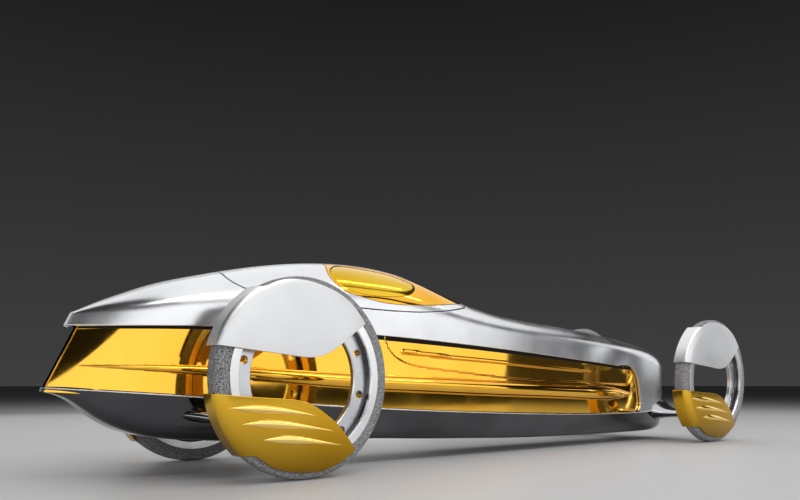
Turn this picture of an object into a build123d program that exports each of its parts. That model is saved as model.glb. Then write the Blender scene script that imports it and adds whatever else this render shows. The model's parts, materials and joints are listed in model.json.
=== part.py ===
from build123d import *
from math import cos, sin, radians, sqrt, hypot, atan2
import os

# Single-seat streamliner concept car with hubless wheels, in millimetres.
# It is laid out from the rear axle: X forward, Y left, Z up from the floor.
# The finished nodes are shifted so that the origin lies under the middle of the car.

# Overall sizes
WHEELBASE = 3582.0
TRACK = 1146.0
HALF_WIDTH = 302.0
TYRE_RADIUS = 450.0

# Body skins
SHELL_WALL = 56.0
FLOOR_WALL = 40.0
GOLD_RECESS = 25.0
CHANNEL_DEPTH = 20.0
STERN_OVERHANG = 48.0
HULL_OVERHANG = 42.0
SHUT_GAP = 6.0
CANOPY_WALL = 14.0
WINDOW_RECESS = 3.0
WINDOW_WALL = 8.0
TAIL_STRIP_WIDTH = 40.0

# Spear along each side panel
SPEAR_RADIUS = 46.0
SPEAR_SINK = 10.0

# Hatch hinge
HINGE_PIN_RADIUS = 5.0
HINGE_RING_RADIUS = 9.0
HINGE_FIT = 0.05
HINGE_KNUCKLE = 36.0
HINGE_EAR = 18.0
HINGE_SIDE_GAP = 1.0
HINGE_FOOT = 14.0

# Wheel, measured from its mid-plane and its axle
CROWN_FLAT = 40.0
TYRE_WIDTH = 92.0
TYRE_SHOULDER_RADIUS = 384.0
BEAD_RADIUS = 372.0
RIM_INNER_RADIUS = 345.0
RIM_WIDTH = 104.0
RIM_LIP = 6.0
RACE_WIDTH = 24.0
RACE_GAP = 0.3
STATOR_OUTER_RADIUS = 340.0
STATOR_INNER_RADIUS = 270.0
STATOR_WIDTH = 30.0
STATOR_BEVEL = 4.0
STATOR_HOLE_RADIUS = 19.0
STATOR_HOLE_COUNT = 10
STATOR_HOLE_PHASE = 22.0
STATOR_HOLE_CIRCLE = 310.0

# Wheel covers
COVER_WALL = 7.0
COVER_TREAD_GAP = 6.0
COVER_RIM_GAP = 6.0
COVER_HUB = 60.0
COVER_EDGE_RADIUS = 392.0
COVER_DOME = 16.0
COVER_SHOULDER = 30.0
COVER_WRAP = 44.0
COVER_POST_RADIUS = 13.0
COVER_POST_SINK = 3.5
BLADE_SINK = 0.45

# Depth of the cut along the hull's chine
CHINE_CUT = 30.0

# Arms and kingpins
ARM_TIP_THICKNESS = 34.0
ARM_TIP_CHORD = 90.0
ARM_EYE_RADIUS = 52.0
ARM_EYE_HEIGHT = 44.0
ARM_RING_GAP = 11.0
ARM_FOOT_RADIUS = 36.0
KINGPIN_RADIUS = 14.0
KINGPIN_FIT = 0.05
KINGPIN_FOOT_RADIUS = 19.0
KINGPIN_COLLAR_RADIUS = 26.0
KINGPIN_CAP = 10.0
KINGPIN_END_PLAY = 0.3

# Jacking pads under the hull
JACK_PAD_RADIUS = 30.0
JACK_PAD_DROP = 6.0
JACK_PADS = [(0.060, 150.0), (0.800, 130.0)]

# Cabin
SEAT_WIDTH = 400.0
SEAT_PAD = 45.0
SEAT_PAD_GAP = 0.3
STEERING_WHEEL_RADIUS = 135.0
STEERING_RIM_RADIUS = 12.0
COLUMN_RADIUS = 18.0
BULKHEAD_WALL = 30.0

# Height at which a slanted section stands at its own station
SECTION_REFERENCE = 400.0

# Body sections from tail to nose. Columns: station as a share of the wheelbase, lean of the
# section, half width as a share of HALF_WIDTH, keel width as a share of the half width,
# heights of the bottom, the sill, the shoulder's foot and the top, and the shoulder's radius.
SECTIONS = [
    # station  lean   half   keel   bottom  sill   foot   top    shoulder
    (-0.2730, 0.50, 0.080, 0.60, 392.0, 407.0, 726.0, 738.0, 8.0),
    (-0.2457, 0.42, 0.240, 0.62, 366.0, 402.0, 733.0, 781.0, 18.0),
    (-0.2122, 0.33, 0.430, 0.66, 298.0, 396.0, 737.0, 824.0, 36.0),
    (-0.1563, 0.20, 0.700, 0.72, 202.0, 383.0, 740.0, 885.0, 60.0),
    (-0.0838, 0.08, 0.885, 0.78, 163.0, 363.0, 744.0, 943.0, 80.0),
    (0.0279, 0.00, 0.980, 0.82, 145.0, 335.0, 752.0, 1024.0, 100.0),
    (0.1954, 0.00, 1.000, 0.84, 130.0, 291.0, 756.0, 1076.0, 120.0),
    (0.2931, 0.00, 0.990, 0.84, 113.0, 273.0, 748.0, 1031.0, 110.0),
    (0.3908, 0.00, 0.970, 0.84, 100.0, 258.0, 736.0, 930.0, 90.0),
    (0.4606, 0.00, 0.955, 0.84, 90.0, 248.0, 722.0, 881.0, 85.0),
    (0.6700, 0.00, 0.870, 0.84, 73.0, 224.0, 684.0, 824.0, 80.0),
    (0.8654, 0.00, 0.755, 0.84, 68.0, 218.0, 626.0, 761.0, 80.0),
    (0.9631, 0.00, 0.630, 0.82, 66.0, 220.0, 580.0, 711.0, 75.0),
    (1.0106, 0.00, 0.470, 0.78, 72.0, 222.0, 545.0, 660.0, 62.0),
    (1.0357, 0.00, 0.290, 0.74, 90.0, 223.0, 524.0, 600.0, 38.0),
    (1.0474, 0.00, 0.110, 0.70, 120.0, 224.0, 500.0, 530.0, 12.0),
]
# Limits of a narrow section: its crown's rise over its half width, its shoulder over the rise
STEEPEST_CROWN = 0.92
FULLEST_SHOULDER = 0.6
CABIN_FIRST = 3
CABIN_LAST = 12

# Side view outlines: points from tail to nose, station as a share of the wheelbase, height
EDGE_LINE = [(-0.40, 684.0), (-0.234, 676.0), (-0.084, 684.0), (0.159, 683.0), (0.325, 661.0),
             (0.573, 612.0), (0.806, 557.0)]
PANEL_NOSE = [(0.806, 557.0), (0.866, 536.0), (0.885, 460.0), (0.8935, 345.0)]
PANEL_TOE = [(0.8935, 345.0), (0.8965, 262.0), (0.880, 216.5)]
SILL_LINE = [(0.880, 216.5), (0.789, 216.0), (0.601, 230.0), (0.325, 269.0), (0.123, 309.0),
             (-0.097, 366.0), (-0.258, 407.0), (-0.40, 436.0)]
NOSE_SEAM = [(1.20, 232.0), (1.00, 222.0), (0.880, 216.5)]

CHANNEL_LINE = [(0.200, 700.0), (0.203, 640.0), (0.233, 551.0), (0.274, 520.0), (0.338, 500.0),
                (0.457, 468.0), (0.619, 448.0), (0.838, 422.0)]
CHANNEL_NOSE = [(0.838, 422.0), (0.862, 440.0), (0.872, 500.0), (0.845, 545.0)]
STRAKE_TOP = [(0.235, 612.0), (0.338, 586.0), (0.457, 566.0), (0.590, 541.0), (0.740, 508.0)]
STRAKE_BOTTOM = [(0.740, 508.0), (0.590, 531.0), (0.457, 555.0), (0.338, 575.0), (0.235, 598.0)]

HATCH_LINE = [(-0.040, 1000.0), (-0.042, 970.0), (-0.047, 925.0), (-0.036, 884.0), (0.000, 855.0),
              (0.080, 831.0), (0.190, 818.0), (0.280, 828.0), (0.345, 858.0), (0.4146, 912.0)]
HATCH_TOP = 1300.0
CANOPY_LINE = [(0.130, 1120.0), (0.1152, 1041.0), (0.1045, 980.0), (0.1137, 920.0), (0.145, 880.0),
               (0.188, 857.0), (0.240, 855.0), (0.300, 870.0), (0.355, 893.0), (0.400, 921.0),
               (0.430, 980.0)]
WINDOW_LINE = [(0.1095, 985.0), (0.1200, 930.0), (0.1431, 898.0), (0.1850, 888.0), (0.2266, 899.0),
               (0.2560, 932.0), (0.2675, 975.0), (0.2494, 1011.0), (0.2125, 1036.0),
               (0.1700, 1050.0), (0.1250, 1036.0), (0.1095, 985.0)]

# Spear along each side panel: station, height, share of the spear's radius
SPEAR = [
    (-0.222, 503.0, 0.06),
    (-0.080, 483.0, 0.52),
    (0.080, 449.0, 0.80),
    (0.270, 422.0, 0.95),
    (0.470, 396.0, 1.00),
    (0.670, 371.0, 0.98),
    (0.810, 357.0, 0.80),
    (0.858, 353.0, 0.25),
]

# Arms: end on the body, then the middle. Columns: share of the way out from the body's side
# to the wheel, forward offset from the axle, height, chord, thickness
REAR_ARM = [
    (-0.35, -215.0, 288.0, 420.0, 92.0),
    (0.10, -170.0, 272.0, 330.0, 70.0),
    (0.50, -60.0, 232.0, 190.0, 52.0),
]
FRONT_ARM = [
    (-0.30, -60.0, 250.0, 420.0, 230.0),
    (-0.05, -55.0, 232.0, 370.0, 168.0),
    (0.08, -45.0, 215.0, 320.0, 112.0),
    (0.25, -30.0, 206.0, 260.0, 74.0),
    (0.50, -12.0, 204.0, 180.0, 52.0),
]

# Cover outlines from the axle, as shares of the tyre's radius: forward, up
TOP_COVER_FOOT = [(-1.08, 0.305), (-0.640, 0.255), (-0.208, 0.211), (0.040, 0.204),
                  (0.270, 0.288), (0.540, 0.472), (0.672, 0.562)]
TOP_COVER_CROWN = [(0.672, 0.562), (0.497, 0.761), (0.165, 0.914), (-0.210, 0.953),
                   (-0.402, 0.904), (-0.530, 0.858), (-0.640, 0.905)]
LOWER_COVER_TOP = [(-1.10, -0.140), (-0.856, -0.161), (-0.375, -0.195), (-0.060, -0.238),
                   (0.150, -0.345), (0.367, -0.516), (0.547, -0.735)]
LOWER_COVER_FOOT = [(0.547, -0.735), (0.341, -0.855), (0.060, -0.925), (-0.216, -0.902),
                    (-0.464, -0.823), (-0.600, -0.736), (-0.760, -0.745)]
TOP_COVER_POSTS = [58.0, 122.0]
LOWER_COVER_POSTS = [-68.0, -122.0]

# Embossed blades of the lower covers, in shares of the tyre's radius: tail, belly, waist, nose
BLADES = [
    [(-0.865, -0.279), (-0.660, -0.290), (-0.280, -0.322), (0.032, -0.365)],
    [(-0.742, -0.428), (-0.575, -0.430), (-0.140, -0.467), (0.245, -0.522)],
    [(-0.529, -0.582), (-0.380, -0.584), (0.020, -0.620), (0.356, -0.670)],
]
BLADE_SIZES = [1.0, 17.0, 14.0, 1.0]

X_FRONT = WHEELBASE + TYRE_RADIUS
TAIL_LEAN = SECTIONS[0][1] * (SECTIONS[0][4] - SECTION_REFERENCE)
HULL_TIP = SECTIONS[0][0] * WHEELBASE + HULL_OVERHANG + TAIL_LEAN
X_MIDDLE = (X_FRONT + HULL_TIP) / 2
Y_REACH = 900.0
AXLE_HEIGHT = TYRE_RADIUS
WHEEL_Y = TRACK / 2


def station_value(x, column):
    """Value of one column of the section table at a distance from the rear axle."""
    share = x / WHEELBASE
    for low, high in zip(SECTIONS, SECTIONS[1:]):
        if share <= high[0] or high is SECTIONS[-1]:
            part = (share - low[0]) / (high[0] - low[0])
            return low[column] + part * (high[column] - low[column])


def half_width(x):
    """Half width of the body's outer skin."""
    return station_value(x, 2) * HALF_WIDTH


def section_wire(row, half, bottom, top, shoulder, shift):
    """One closed section: flat keel, chine, raked hull side, upright side, shoulder, crown."""
    station, lean, _, keel, _, sill, foot = row[:7]
    rise = min(top - foot, STEEPEST_CROWN * half)
    foot = top - rise
    shoulder = min(shoulder, FULLEST_SHOULDER * rise)
    crown = (half ** 2 + rise ** 2 - 2 * half * shoulder) / (2 * (rise - shoulder))
    hub = (half - shoulder, foot)
    centre = (0.0, top - crown)
    aim = atan2(hub[1] - centre[1], hub[0] - centre[0])
    meet = (centre[0] + crown * cos(aim), centre[1] + crown * sin(aim))
    bend = (hub[0] + shoulder * cos(aim / 2), hub[1] + shoulder * sin(aim / 2))

    def place(y, z):
        x = station * WHEELBASE + shift + lean * (z - SECTION_REFERENCE)
        return Vector(x, y, z)

    flare = (half - half * keel, sill - bottom)
    cut = min(CHINE_CUT, 0.4 * hypot(*flare), 0.5 * half * keel)
    raise_y = half * keel + cut * flare[0] / hypot(*flare)
    raise_z = bottom + cut * flare[1] / hypot(*flare)
    keel_edge = half * keel - cut
    edges = []
    for side in (1, -1):
        chain = [(keel_edge, bottom), (raise_y, raise_z), (half, sill), (half, foot), meet]
        points = [place(side * y, z) for y, z in chain]
        run = [Edge.make_line(a, b) for a, b in zip(points[:3], points[1:4])]
        bulge = place(side * bend[0], bend[1])
        run.append(Edge.make_three_point_arc(points[3], bulge, points[4]))
        edges.append(run)
    left, right = edges
    top_arc = Edge.make_three_point_arc(place(*meet), place(0, top), place(-meet[0], meet[1]))
    keel_line = Edge.make_line(place(-keel_edge, bottom), place(keel_edge, bottom))
    return Wire([keel_line] + left + [top_arc] + right[::-1])


def body_loft(inset=0.0, narrow=0.0, stern=0.0, floor=None, rows=SECTIONS):
    """Body volume, drawn in by a fixed inset or narrowed in proportion, its stern moved in."""
    wires = []
    tail = SECTIONS[0][0]
    for row in rows:
        half = row[2] * HALF_WIDTH * (1 - narrow / HALF_WIDTH) - inset
        bottom = row[4] + (inset if floor is None else floor)
        top = row[7] - inset
        shoulder = max(row[8] - inset, 0.25 * row[8])
        shift = stern * max(row[0], tail) / tail if row[0] < 0 else 0.0
        wires.append(section_wire(row, half, bottom, top, shoulder, shift))
    return Solid.make_loft(wires, ruled=True)


def side_points(line, y):
    return [Vector(share * WHEELBASE, y, z) for share, z in line]


def prism(edges, y_low=-Y_REACH, y_high=Y_REACH):
    """Side view outline, already at y_low, run across the car."""
    face = Face(Wire(edges))
    return Solid.extrude(face, Vector(0, y_high - y_low, 0))


def spline(points):
    return Edge.make_spline(points)


def runs(points):
    """Straight edges through a row of points."""
    return [Edge.make_line(a, b) for a, b in zip(points, points[1:])]


def above_sill():
    """Region above the line between the upper body and the hull."""
    sill = side_points(SILL_LINE, -Y_REACH)
    seam = side_points(NOSE_SEAM, -Y_REACH)
    lid = [sill[-1], Vector(sill[-1].X, -Y_REACH, HATCH_TOP),
           Vector(seam[0].X, -Y_REACH, HATCH_TOP), seam[0]]
    return prism([spline(seam), spline(sill)] + runs(lid))


def panel_region():
    """Region of the side panels, between the upper shell's edge and the sill."""
    edge = side_points(EDGE_LINE, -Y_REACH)
    sill = side_points(SILL_LINE, -Y_REACH)
    nose = spline(side_points(PANEL_NOSE, -Y_REACH))
    toe = spline(side_points(PANEL_TOE, -Y_REACH))
    return prism([spline(edge), nose, toe, spline(sill), Edge.make_line(sill[-1], edge[0])])


def channel_region():
    """Scoop in the front of each side panel, around its strake."""
    low = side_points(CHANNEL_LINE, -Y_REACH)
    nose = side_points(CHANNEL_NOSE, -Y_REACH)
    top = [nose[-1], Vector(nose[-1].X, -Y_REACH, low[0].Z), low[0]]
    region = prism([spline(low), spline(nose)] + runs(top))
    over = side_points(STRAKE_TOP, -Y_REACH)
    under = side_points(STRAKE_BOTTOM, -Y_REACH)
    strake = prism([spline(over), spline(under), Edge.make_line(under[-1], over[0])])
    return region - strake


def lid_region(line, grow=0.0):
    """Region above a side view line, lowered and widened by a gap."""
    points = side_points(line, -Y_REACH)
    count = len(points) - 1
    lowered = []
    for index, point in enumerate(points):
        before = points[max(index - 1, 0)]
        after = points[min(index + 1, count)]
        along = (after - before).normalized()
        normal = Vector(along.Z, 0, -along.X)
        lowered.append(point + normal * grow)
    lid = [lowered[-1], Vector(lowered[-1].X, -Y_REACH, HATCH_TOP),
           Vector(lowered[0].X, -Y_REACH, HATCH_TOP), lowered[0]]
    return prism([spline(lowered)] + runs(lid))


def window_region():
    points = side_points(WINDOW_LINE, -Y_REACH)
    return prism([Edge.make_spline(points[:-1], periodic=True)])


def cylinder_y(x, y_low, y_high, z, radius):
    """Round bar across the car."""
    plane = Plane(origin=(x, y_low, z), x_dir=(1, 0, 0), z_dir=(0, 1, 0))
    return Solid.make_cylinder(radius, y_high - y_low, plane)


def block(x_low, x_high, y_low, y_high, z_low, z_high):
    plane = Plane(origin=(x_low, y_low, z_low))
    return Solid.make_box(x_high - x_low, y_high - y_low, z_high - z_low, plane)


def spear(side):
    """Torpedo bulge of one side panel, from a needle tip at the tail to a blunt nose."""
    wires = []
    narrow = 1 - GOLD_RECESS / HALF_WIDTH
    for share, height, size in SPEAR:
        x = share * WHEELBASE
        lean = station_value(x, 1)
        stern = STERN_OVERHANG * max(-x, 0) / (-SECTIONS[0][0] * WHEELBASE)
        own = x - lean * (height - SECTION_REFERENCE) - stern
        radius = SPEAR_RADIUS * size
        y = half_width(own) * narrow - SPEAR_SINK * size
        plane = Plane(origin=(x, side * y, height), x_dir=(0, 1, 0), z_dir=(1, 0, 0))
        wires.append(Wire([Edge.make_circle(radius, plane)]))
    return Solid.make_loft(wires)


def revolve_profile(points, closed_arcs=()):
    """Ring about the axle from (radius, offset) points; arcs replace the listed runs."""
    vectors = [Vector(r, y, 0) for r, y in points]
    edges = []
    for index, start in enumerate(vectors):
        end = vectors[(index + 1) % len(vectors)]
        if index in dict(closed_arcs):
            r, y = dict(closed_arcs)[index]
            edges.append(Edge.make_three_point_arc(start, Vector(r, y, 0), end))
        else:
            edges.append(Edge.make_line(start, end))
    face = Face(Wire(edges))
    return Solid.revolve(face, 360, Axis((0, 0, 0), (0, 1, 0)))


def tyre():
    """Tyre with a flat crown and full shoulders down to the rim's lips."""
    crown = CROWN_FLAT / 2
    bead = TYRE_WIDTH / 2
    bulge = (TYRE_RADIUS - 14.0, (crown + bead) / 2 + 7.0)
    points = [(BEAD_RADIUS, -bead), (TYRE_SHOULDER_RADIUS, -bead), (TYRE_RADIUS, -crown),
              (TYRE_RADIUS, crown), (TYRE_SHOULDER_RADIUS, bead), (BEAD_RADIUS, bead)]
    arcs = [(1, (bulge[0], -bulge[1])), (3, bulge)]
    return revolve_profile(points, arcs)


def rim():
    """Rim: barrel under the tyre, raked lips and the running track of the bearing."""
    bead = TYRE_WIDTH / 2
    lip = RIM_WIDTH / 2
    race = RACE_WIDTH / 2
    track = STATOR_OUTER_RADIUS + RACE_GAP
    half = [(track, race), (RIM_INNER_RADIUS, race + RIM_LIP), (RIM_INNER_RADIUS, lip),
            (TYRE_SHOULDER_RADIUS, bead + RIM_LIP), (TYRE_SHOULDER_RADIUS, bead),
            (BEAD_RADIUS, bead)]
    mirrored = [(r, -y) for r, y in reversed(half)]
    return revolve_profile(half + mirrored)


def stator():
    """Fixed ring inside the rim, with its circle of round holes."""
    half = STATOR_WIDTH / 2
    race = RACE_WIDTH / 2
    bevel = STATOR_BEVEL
    side = [(STATOR_INNER_RADIUS + bevel, half), (STATOR_OUTER_RADIUS - bevel, half),
            (STATOR_OUTER_RADIUS, race)]
    inner = [(STATOR_INNER_RADIUS, -half + bevel), (STATOR_INNER_RADIUS, half - bevel)]
    mirrored = [(r, -y) for r, y in reversed(side)]
    ring = revolve_profile(side + mirrored + inner)
    for index in range(STATOR_HOLE_COUNT):
        angle = radians(STATOR_HOLE_PHASE + index * 360.0 / STATOR_HOLE_COUNT)
        x = STATOR_HOLE_CIRCLE * cos(angle)
        z = STATOR_HOLE_CIRCLE * sin(angle)
        ring = ring - cylinder_y(x, -STATOR_WIDTH, STATOR_WIDTH, z, STATOR_HOLE_RADIUS)
    return ring


def dome(radius):
    """Height of the inside of a cover's dome over the wheel's mid-plane."""
    share = (radius ** 2 - COVER_HUB ** 2) / (COVER_EDGE_RADIUS ** 2 - COVER_HUB ** 2)
    return RIM_WIDTH / 2 + COVER_RIM_GAP + COVER_DOME * (1 - share)


def cover_shell():
    """Full ring of the cover's domed skin; the outlines cut their sectors from it."""
    wrap = TYRE_RADIUS + COVER_TREAD_GAP
    edge = COVER_EDGE_RADIUS
    shoulder = COVER_SHOULDER
    half_way = 230.0
    wall = COVER_WALL
    eighth = sqrt(0.5)
    inner = [(COVER_HUB, dome(COVER_HUB)), (edge, dome(edge)), (wrap, shoulder),
             (wrap, -COVER_WRAP)]
    outer = [(wrap + wall, -COVER_WRAP), (wrap + wall, shoulder), (edge, dome(edge) + wall),
             (COVER_HUB, dome(COVER_HUB) + wall)]
    arcs = [
        (0, (half_way, dome(half_way))),
        (1, (edge + eighth * (wrap - edge), shoulder + eighth * (dome(edge) - shoulder))),
        (5, (edge + eighth * (wrap + wall - edge),
             shoulder + eighth * (dome(edge) + wall - shoulder))),
        (6, (half_way, dome(half_way) + wall)),
    ]
    return revolve_profile(inner + outer, arcs)


def dome_core():
    """Space under a cover's dome, which trims what is sunk through the skin."""
    top = dome(COVER_HUB)
    points = [(1.0, 0.0), (1.0, top), (COVER_HUB, top), (COVER_EDGE_RADIUS, dome(COVER_EDGE_RADIUS)),
              (COVER_EDGE_RADIUS, 0.0)]
    return revolve_profile(points, [(2, (230.0, dome(230.0)))])


def blade(line):
    """Embossed blade on a lower cover: round sections sunk into the dome, sharp at both ends."""
    wires = []
    points = [(a * TYRE_RADIUS, b * TYRE_RADIUS) for a, b in line]
    for (x, z), radius in zip(points, BLADE_SIZES):
        y = dome(hypot(x, z)) + COVER_WALL - BLADE_SINK * radius
        plane = Plane(origin=(x, y, z), x_dir=(0, 1, 0), z_dir=(1, 0, 0))
        wires.append(Wire([Edge.make_circle(radius, plane)]))
    return Solid.make_loft(wires)


def cover_region(lower, upper, reach):
    """Outline of a cover across the wheel, closed round the trailing side of the tread."""
    low = [Vector(a * TYRE_RADIUS, -Y_REACH, b * TYRE_RADIUS) for a, b in lower]
    high = [Vector(a * TYRE_RADIUS, -Y_REACH, b * TYRE_RADIUS) for a, b in upper]
    middle = Vector(-reach * TYRE_RADIUS, -Y_REACH, (low[0].Z + high[-1].Z) / 2)
    closing = [high[-1], middle, low[0]]
    return prism([spline(low), spline(high)] + runs(closing))


def cover(lower, upper, reach, post_angles):
    """One cover: a sector of the domed skin on two posts that stand on the stator's face."""
    solid = cover_shell() & cover_region(lower, upper, reach)
    for angle in post_angles:
        x = STATOR_HOLE_CIRCLE * cos(radians(angle))
        z = STATOR_HOLE_CIRCLE * sin(radians(angle))
        top = dome(STATOR_HOLE_CIRCLE) + COVER_POST_SINK
        solid = solid + cylinder_y(x, STATOR_WIDTH / 2, top, z, COVER_POST_RADIUS)
    return solid


def slot_wire(x, y, z, chord, thickness):
    """Section of an arm: a rounded plank, its long side fore and aft."""
    plane = Plane(origin=(x, y, z), x_dir=(1, 0, 0), z_dir=(0, -1, 0))
    run = (chord - thickness) / 2
    half = thickness / 2
    corners = [(-run, -half), (run, -half), (run, half), (-run, half)]
    points = [plane.from_local_coords(Vector(a, b, 0)) for a, b in corners]
    nose = plane.from_local_coords(Vector(run + half, 0, 0))
    tail = plane.from_local_coords(Vector(-run - half, 0, 0))
    return Wire([
        Edge.make_line(points[0], points[1]),
        Edge.make_three_point_arc(points[1], nose, points[2]),
        Edge.make_line(points[2], points[3]),
        Edge.make_three_point_arc(points[3], tail, points[0]),
    ])


ARM_TIP_HEIGHT = AXLE_HEIGHT - STATOR_INNER_RADIUS + ARM_RING_GAP + ARM_EYE_HEIGHT / 2


# Height just under the inner face of the stator's foot
ring_foot = AXLE_HEIGHT - STATOR_INNER_RADIUS - STATOR_BEVEL


def arm(rows, axle_x, body, side):
    """Arm from the body's side to the foot of the stator, in a rounded plank section."""
    root = half_width(axle_x)
    wires = []
    for share, forward, height, chord, thickness in rows:
        y = root + share * (WHEEL_Y - root)
        wires.append(slot_wire(axle_x + forward, y, height, chord, thickness))
    for back in (ARM_EYE_RADIUS, 0.0):
        y = WHEEL_Y - back
        wires.append(slot_wire(axle_x, y, ARM_TIP_HEIGHT, ARM_TIP_CHORD, ARM_TIP_THICKNESS))
    solid = Solid.make_loft(wires)
    boss = Solid.make_cylinder(ARM_EYE_RADIUS, ARM_EYE_HEIGHT, Plane(
        origin=(axle_x, WHEEL_Y, ARM_TIP_HEIGHT - ARM_EYE_HEIGHT / 2)))
    solid = solid + boss
    if side < 0:
        solid = solid.mirror(Plane.XZ)
    return solid - body


def kingpin(axle_x, side, ring):
    """Upright pin on the stator's foot, through the arm's eye, with a collar and a cap."""
    low = ARM_TIP_HEIGHT - ARM_EYE_HEIGHT / 2
    high = ARM_TIP_HEIGHT + ARM_EYE_HEIGHT / 2
    at = (axle_x, side * WHEEL_Y)
    collar = Solid.make_cylinder(KINGPIN_FOOT_RADIUS, low - KINGPIN_END_PLAY - ring_foot,
                                 Plane(origin=(*at, ring_foot)))
    pin = Solid.make_cylinder(KINGPIN_RADIUS, high - low + 2.0, Plane(origin=(*at, low - 1.0)))
    cap = Solid.make_cylinder(
        KINGPIN_COLLAR_RADIUS, KINGPIN_CAP, Plane(origin=(*at, high + KINGPIN_END_PLAY)))
    return collar + pin + cap - ring


def seat_profile():
    """Seat shell's face in side view, from the top of the back to the front of the pan."""
    x = 0.117 * WHEELBASE
    return Vector(x, 0, 846.0), Vector(x + 370.0, 0, 316.0), Vector(x + 705.0, 0, 342.0)


def seat_shell(cabin):
    top, hip, knee = seat_profile()
    half = SEAT_WIDTH / 2
    chain = [top + Vector(-34, 0, -26), top, hip, knee, knee + Vector(20, 0, -46),
             Vector(knee.X + 20, 0, 0), Vector(hip.X - 50, 0, 0)]
    points = [Vector(p.X, -half, p.Z) for p in chain]
    solid = prism(runs(points + points[:1]), -half, half)
    return solid & cabin


def seat_cushion():
    """Soft pad on the seat: back and pan in one piece, a hair clear of the shell."""
    top, hip, knee = seat_profile()
    half = SEAT_WIDTH / 2 - 12.0
    back = (hip - top).normalized()
    pan = (knee - hip).normalized()
    back_normal = Vector(-back.Z, 0, back.X)
    pan_normal = Vector(-pan.Z, 0, pan.X)
    cosine = back_normal.dot(pan_normal)
    mitre = (back_normal + pan_normal) * (1 / (1 + cosine))
    head = top + back * 20.0
    edge = knee - pan * 16.0
    chain = [head + back_normal * SEAT_PAD_GAP, hip + mitre * SEAT_PAD_GAP,
             edge + pan_normal * SEAT_PAD_GAP, edge + pan_normal * SEAT_PAD,
             hip + mitre * SEAT_PAD, head + back_normal * SEAT_PAD]
    points = [Vector(p.X, -half, p.Z) for p in chain]
    return prism(runs(points + points[:1]), -half, half)


os.makedirs("parts", exist_ok=True)
NODES = {}


def keep(name, shape):
    """Shift a finished node under the frame's origin and store it."""
    NODES[name] = shape.moved(Location((-X_MIDDLE, 0, 0)))


# Body volumes
outer = body_loft()
hull_outer = body_loft(stern=HULL_OVERHANG)
gold_outer = body_loft(narrow=GOLD_RECESS, stern=STERN_OVERHANG)
channel_floor = body_loft(narrow=GOLD_RECESS + CHANNEL_DEPTH, stern=STERN_OVERHANG)
cabin_rows = SECTIONS[CABIN_FIRST:CABIN_LAST]
cabin = body_loft(inset=SHELL_WALL, floor=FLOOR_WALL, rows=cabin_rows)
canopy_rows = SECTIONS[4:11]
under_canopy = body_loft(inset=CANOPY_WALL, rows=canopy_rows)
pane_outer = body_loft(inset=WINDOW_RECESS, rows=canopy_rows)
pane_inner = body_loft(inset=WINDOW_RECESS + WINDOW_WALL, rows=canopy_rows)

upper_zone = above_sill()
panel_zone = panel_region()
hatch_zone = lid_region(HATCH_LINE)
hatch_gap = lid_region(HATCH_LINE, SHUT_GAP)
canopy_zone = lid_region(CANOPY_LINE)
window_zone = window_region()

# Hatch hinge at the front tip of the shut line
hinge_x = HATCH_LINE[-1][0] * WHEELBASE + SHUT_GAP / 2
hinge_z = HATCH_LINE[-1][1] + 2.0
knuckle = HINGE_KNUCKLE / 2
ear_out = knuckle + HINGE_SIDE_GAP + HINGE_EAR
pocket = cylinder_y(hinge_x, -ear_out - 2, ear_out + 2, hinge_z, HINGE_RING_RADIUS + 3)
foot_low = hinge_z - 2 * HINGE_RING_RADIUS

shell = outer - cabin
upper_shell = (shell & upper_zone) - panel_zone - hatch_gap - pocket
foot_pocket = block(hinge_x - HINGE_FOOT - SHUT_GAP, hinge_x + HINGE_FOOT, -ear_out - 1,
                    ear_out + 1, foot_low - SHUT_GAP, hinge_z)
upper_shell = upper_shell - foot_pocket
keep("upper_shell", upper_shell)

hull = (hull_outer - cabin) - upper_zone
for share, offset in JACK_PADS:
    x = share * WHEELBASE
    low = station_value(x, 4) - JACK_PAD_DROP
    for side in (1, -1):
        pad_plane = Plane(origin=(x, side * offset, low))
        hull = hull + Solid.make_cylinder(JACK_PAD_RADIUS, FLOOR_WALL / 2, pad_plane)
keep("hull", hull)

panels = (gold_outer - cabin) & panel_zone
channel_cut = channel_region() - channel_floor
panels = panels - channel_cut
strip_half = TAIL_STRIP_WIDTH / 2
tail_box = block(-0.4 * WHEELBASE, 0, -strip_half, strip_half, 0, HATCH_TOP)
keep("tail_strip", panels & tail_box)
for name, side in (("left", 1), ("right", -1)):
    low, high = sorted((side * strip_half, side * Y_REACH))
    half_space = block(-0.4 * WHEELBASE, 1.3 * WHEELBASE, low, high, 0, HATCH_TOP)
    panel = (panels & half_space) + (spear(side) - cabin)
    keep("side_panel_" + name, panel)

# Hatch with its canopy
hatch = (shell & hatch_zone) - canopy_zone - pocket
lug = block(hinge_x - HINGE_FOOT, hinge_x, -knuckle, knuckle, foot_low, hinge_z - 2)
lug = lug + cylinder_y(hinge_x, -knuckle, knuckle, hinge_z, HINGE_RING_RADIUS)
lug = lug - cylinder_y(hinge_x, -knuckle, knuckle, hinge_z, HINGE_PIN_RADIUS + HINGE_FIT)
hatch = hatch + lug
keep("hatch_shell", hatch)
canopy = (outer & canopy_zone & hatch_zone) - under_canopy - window_zone
keep("canopy", canopy)
panes = (pane_outer - pane_inner) & window_zone
for name, side in (("left", 1), ("right", -1)):
    low, high = sorted((0.0, side * Y_REACH))
    keep("canopy_window_" + name, panes & block(0, WHEELBASE, low, high, 0, HATCH_TOP))

bracket = cylinder_y(hinge_x, -ear_out, ear_out, hinge_z, HINGE_PIN_RADIUS)
for side in (1, -1):
    low, high = sorted((side * (knuckle + HINGE_SIDE_GAP), side * ear_out))
    bracket = bracket + cylinder_y(hinge_x, low, high, hinge_z, HINGE_RING_RADIUS)
    bracket = bracket + block(hinge_x, hinge_x + HINGE_FOOT, low, high, foot_low, hinge_z - 2)
keep("hinge_bracket", bracket)

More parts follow.
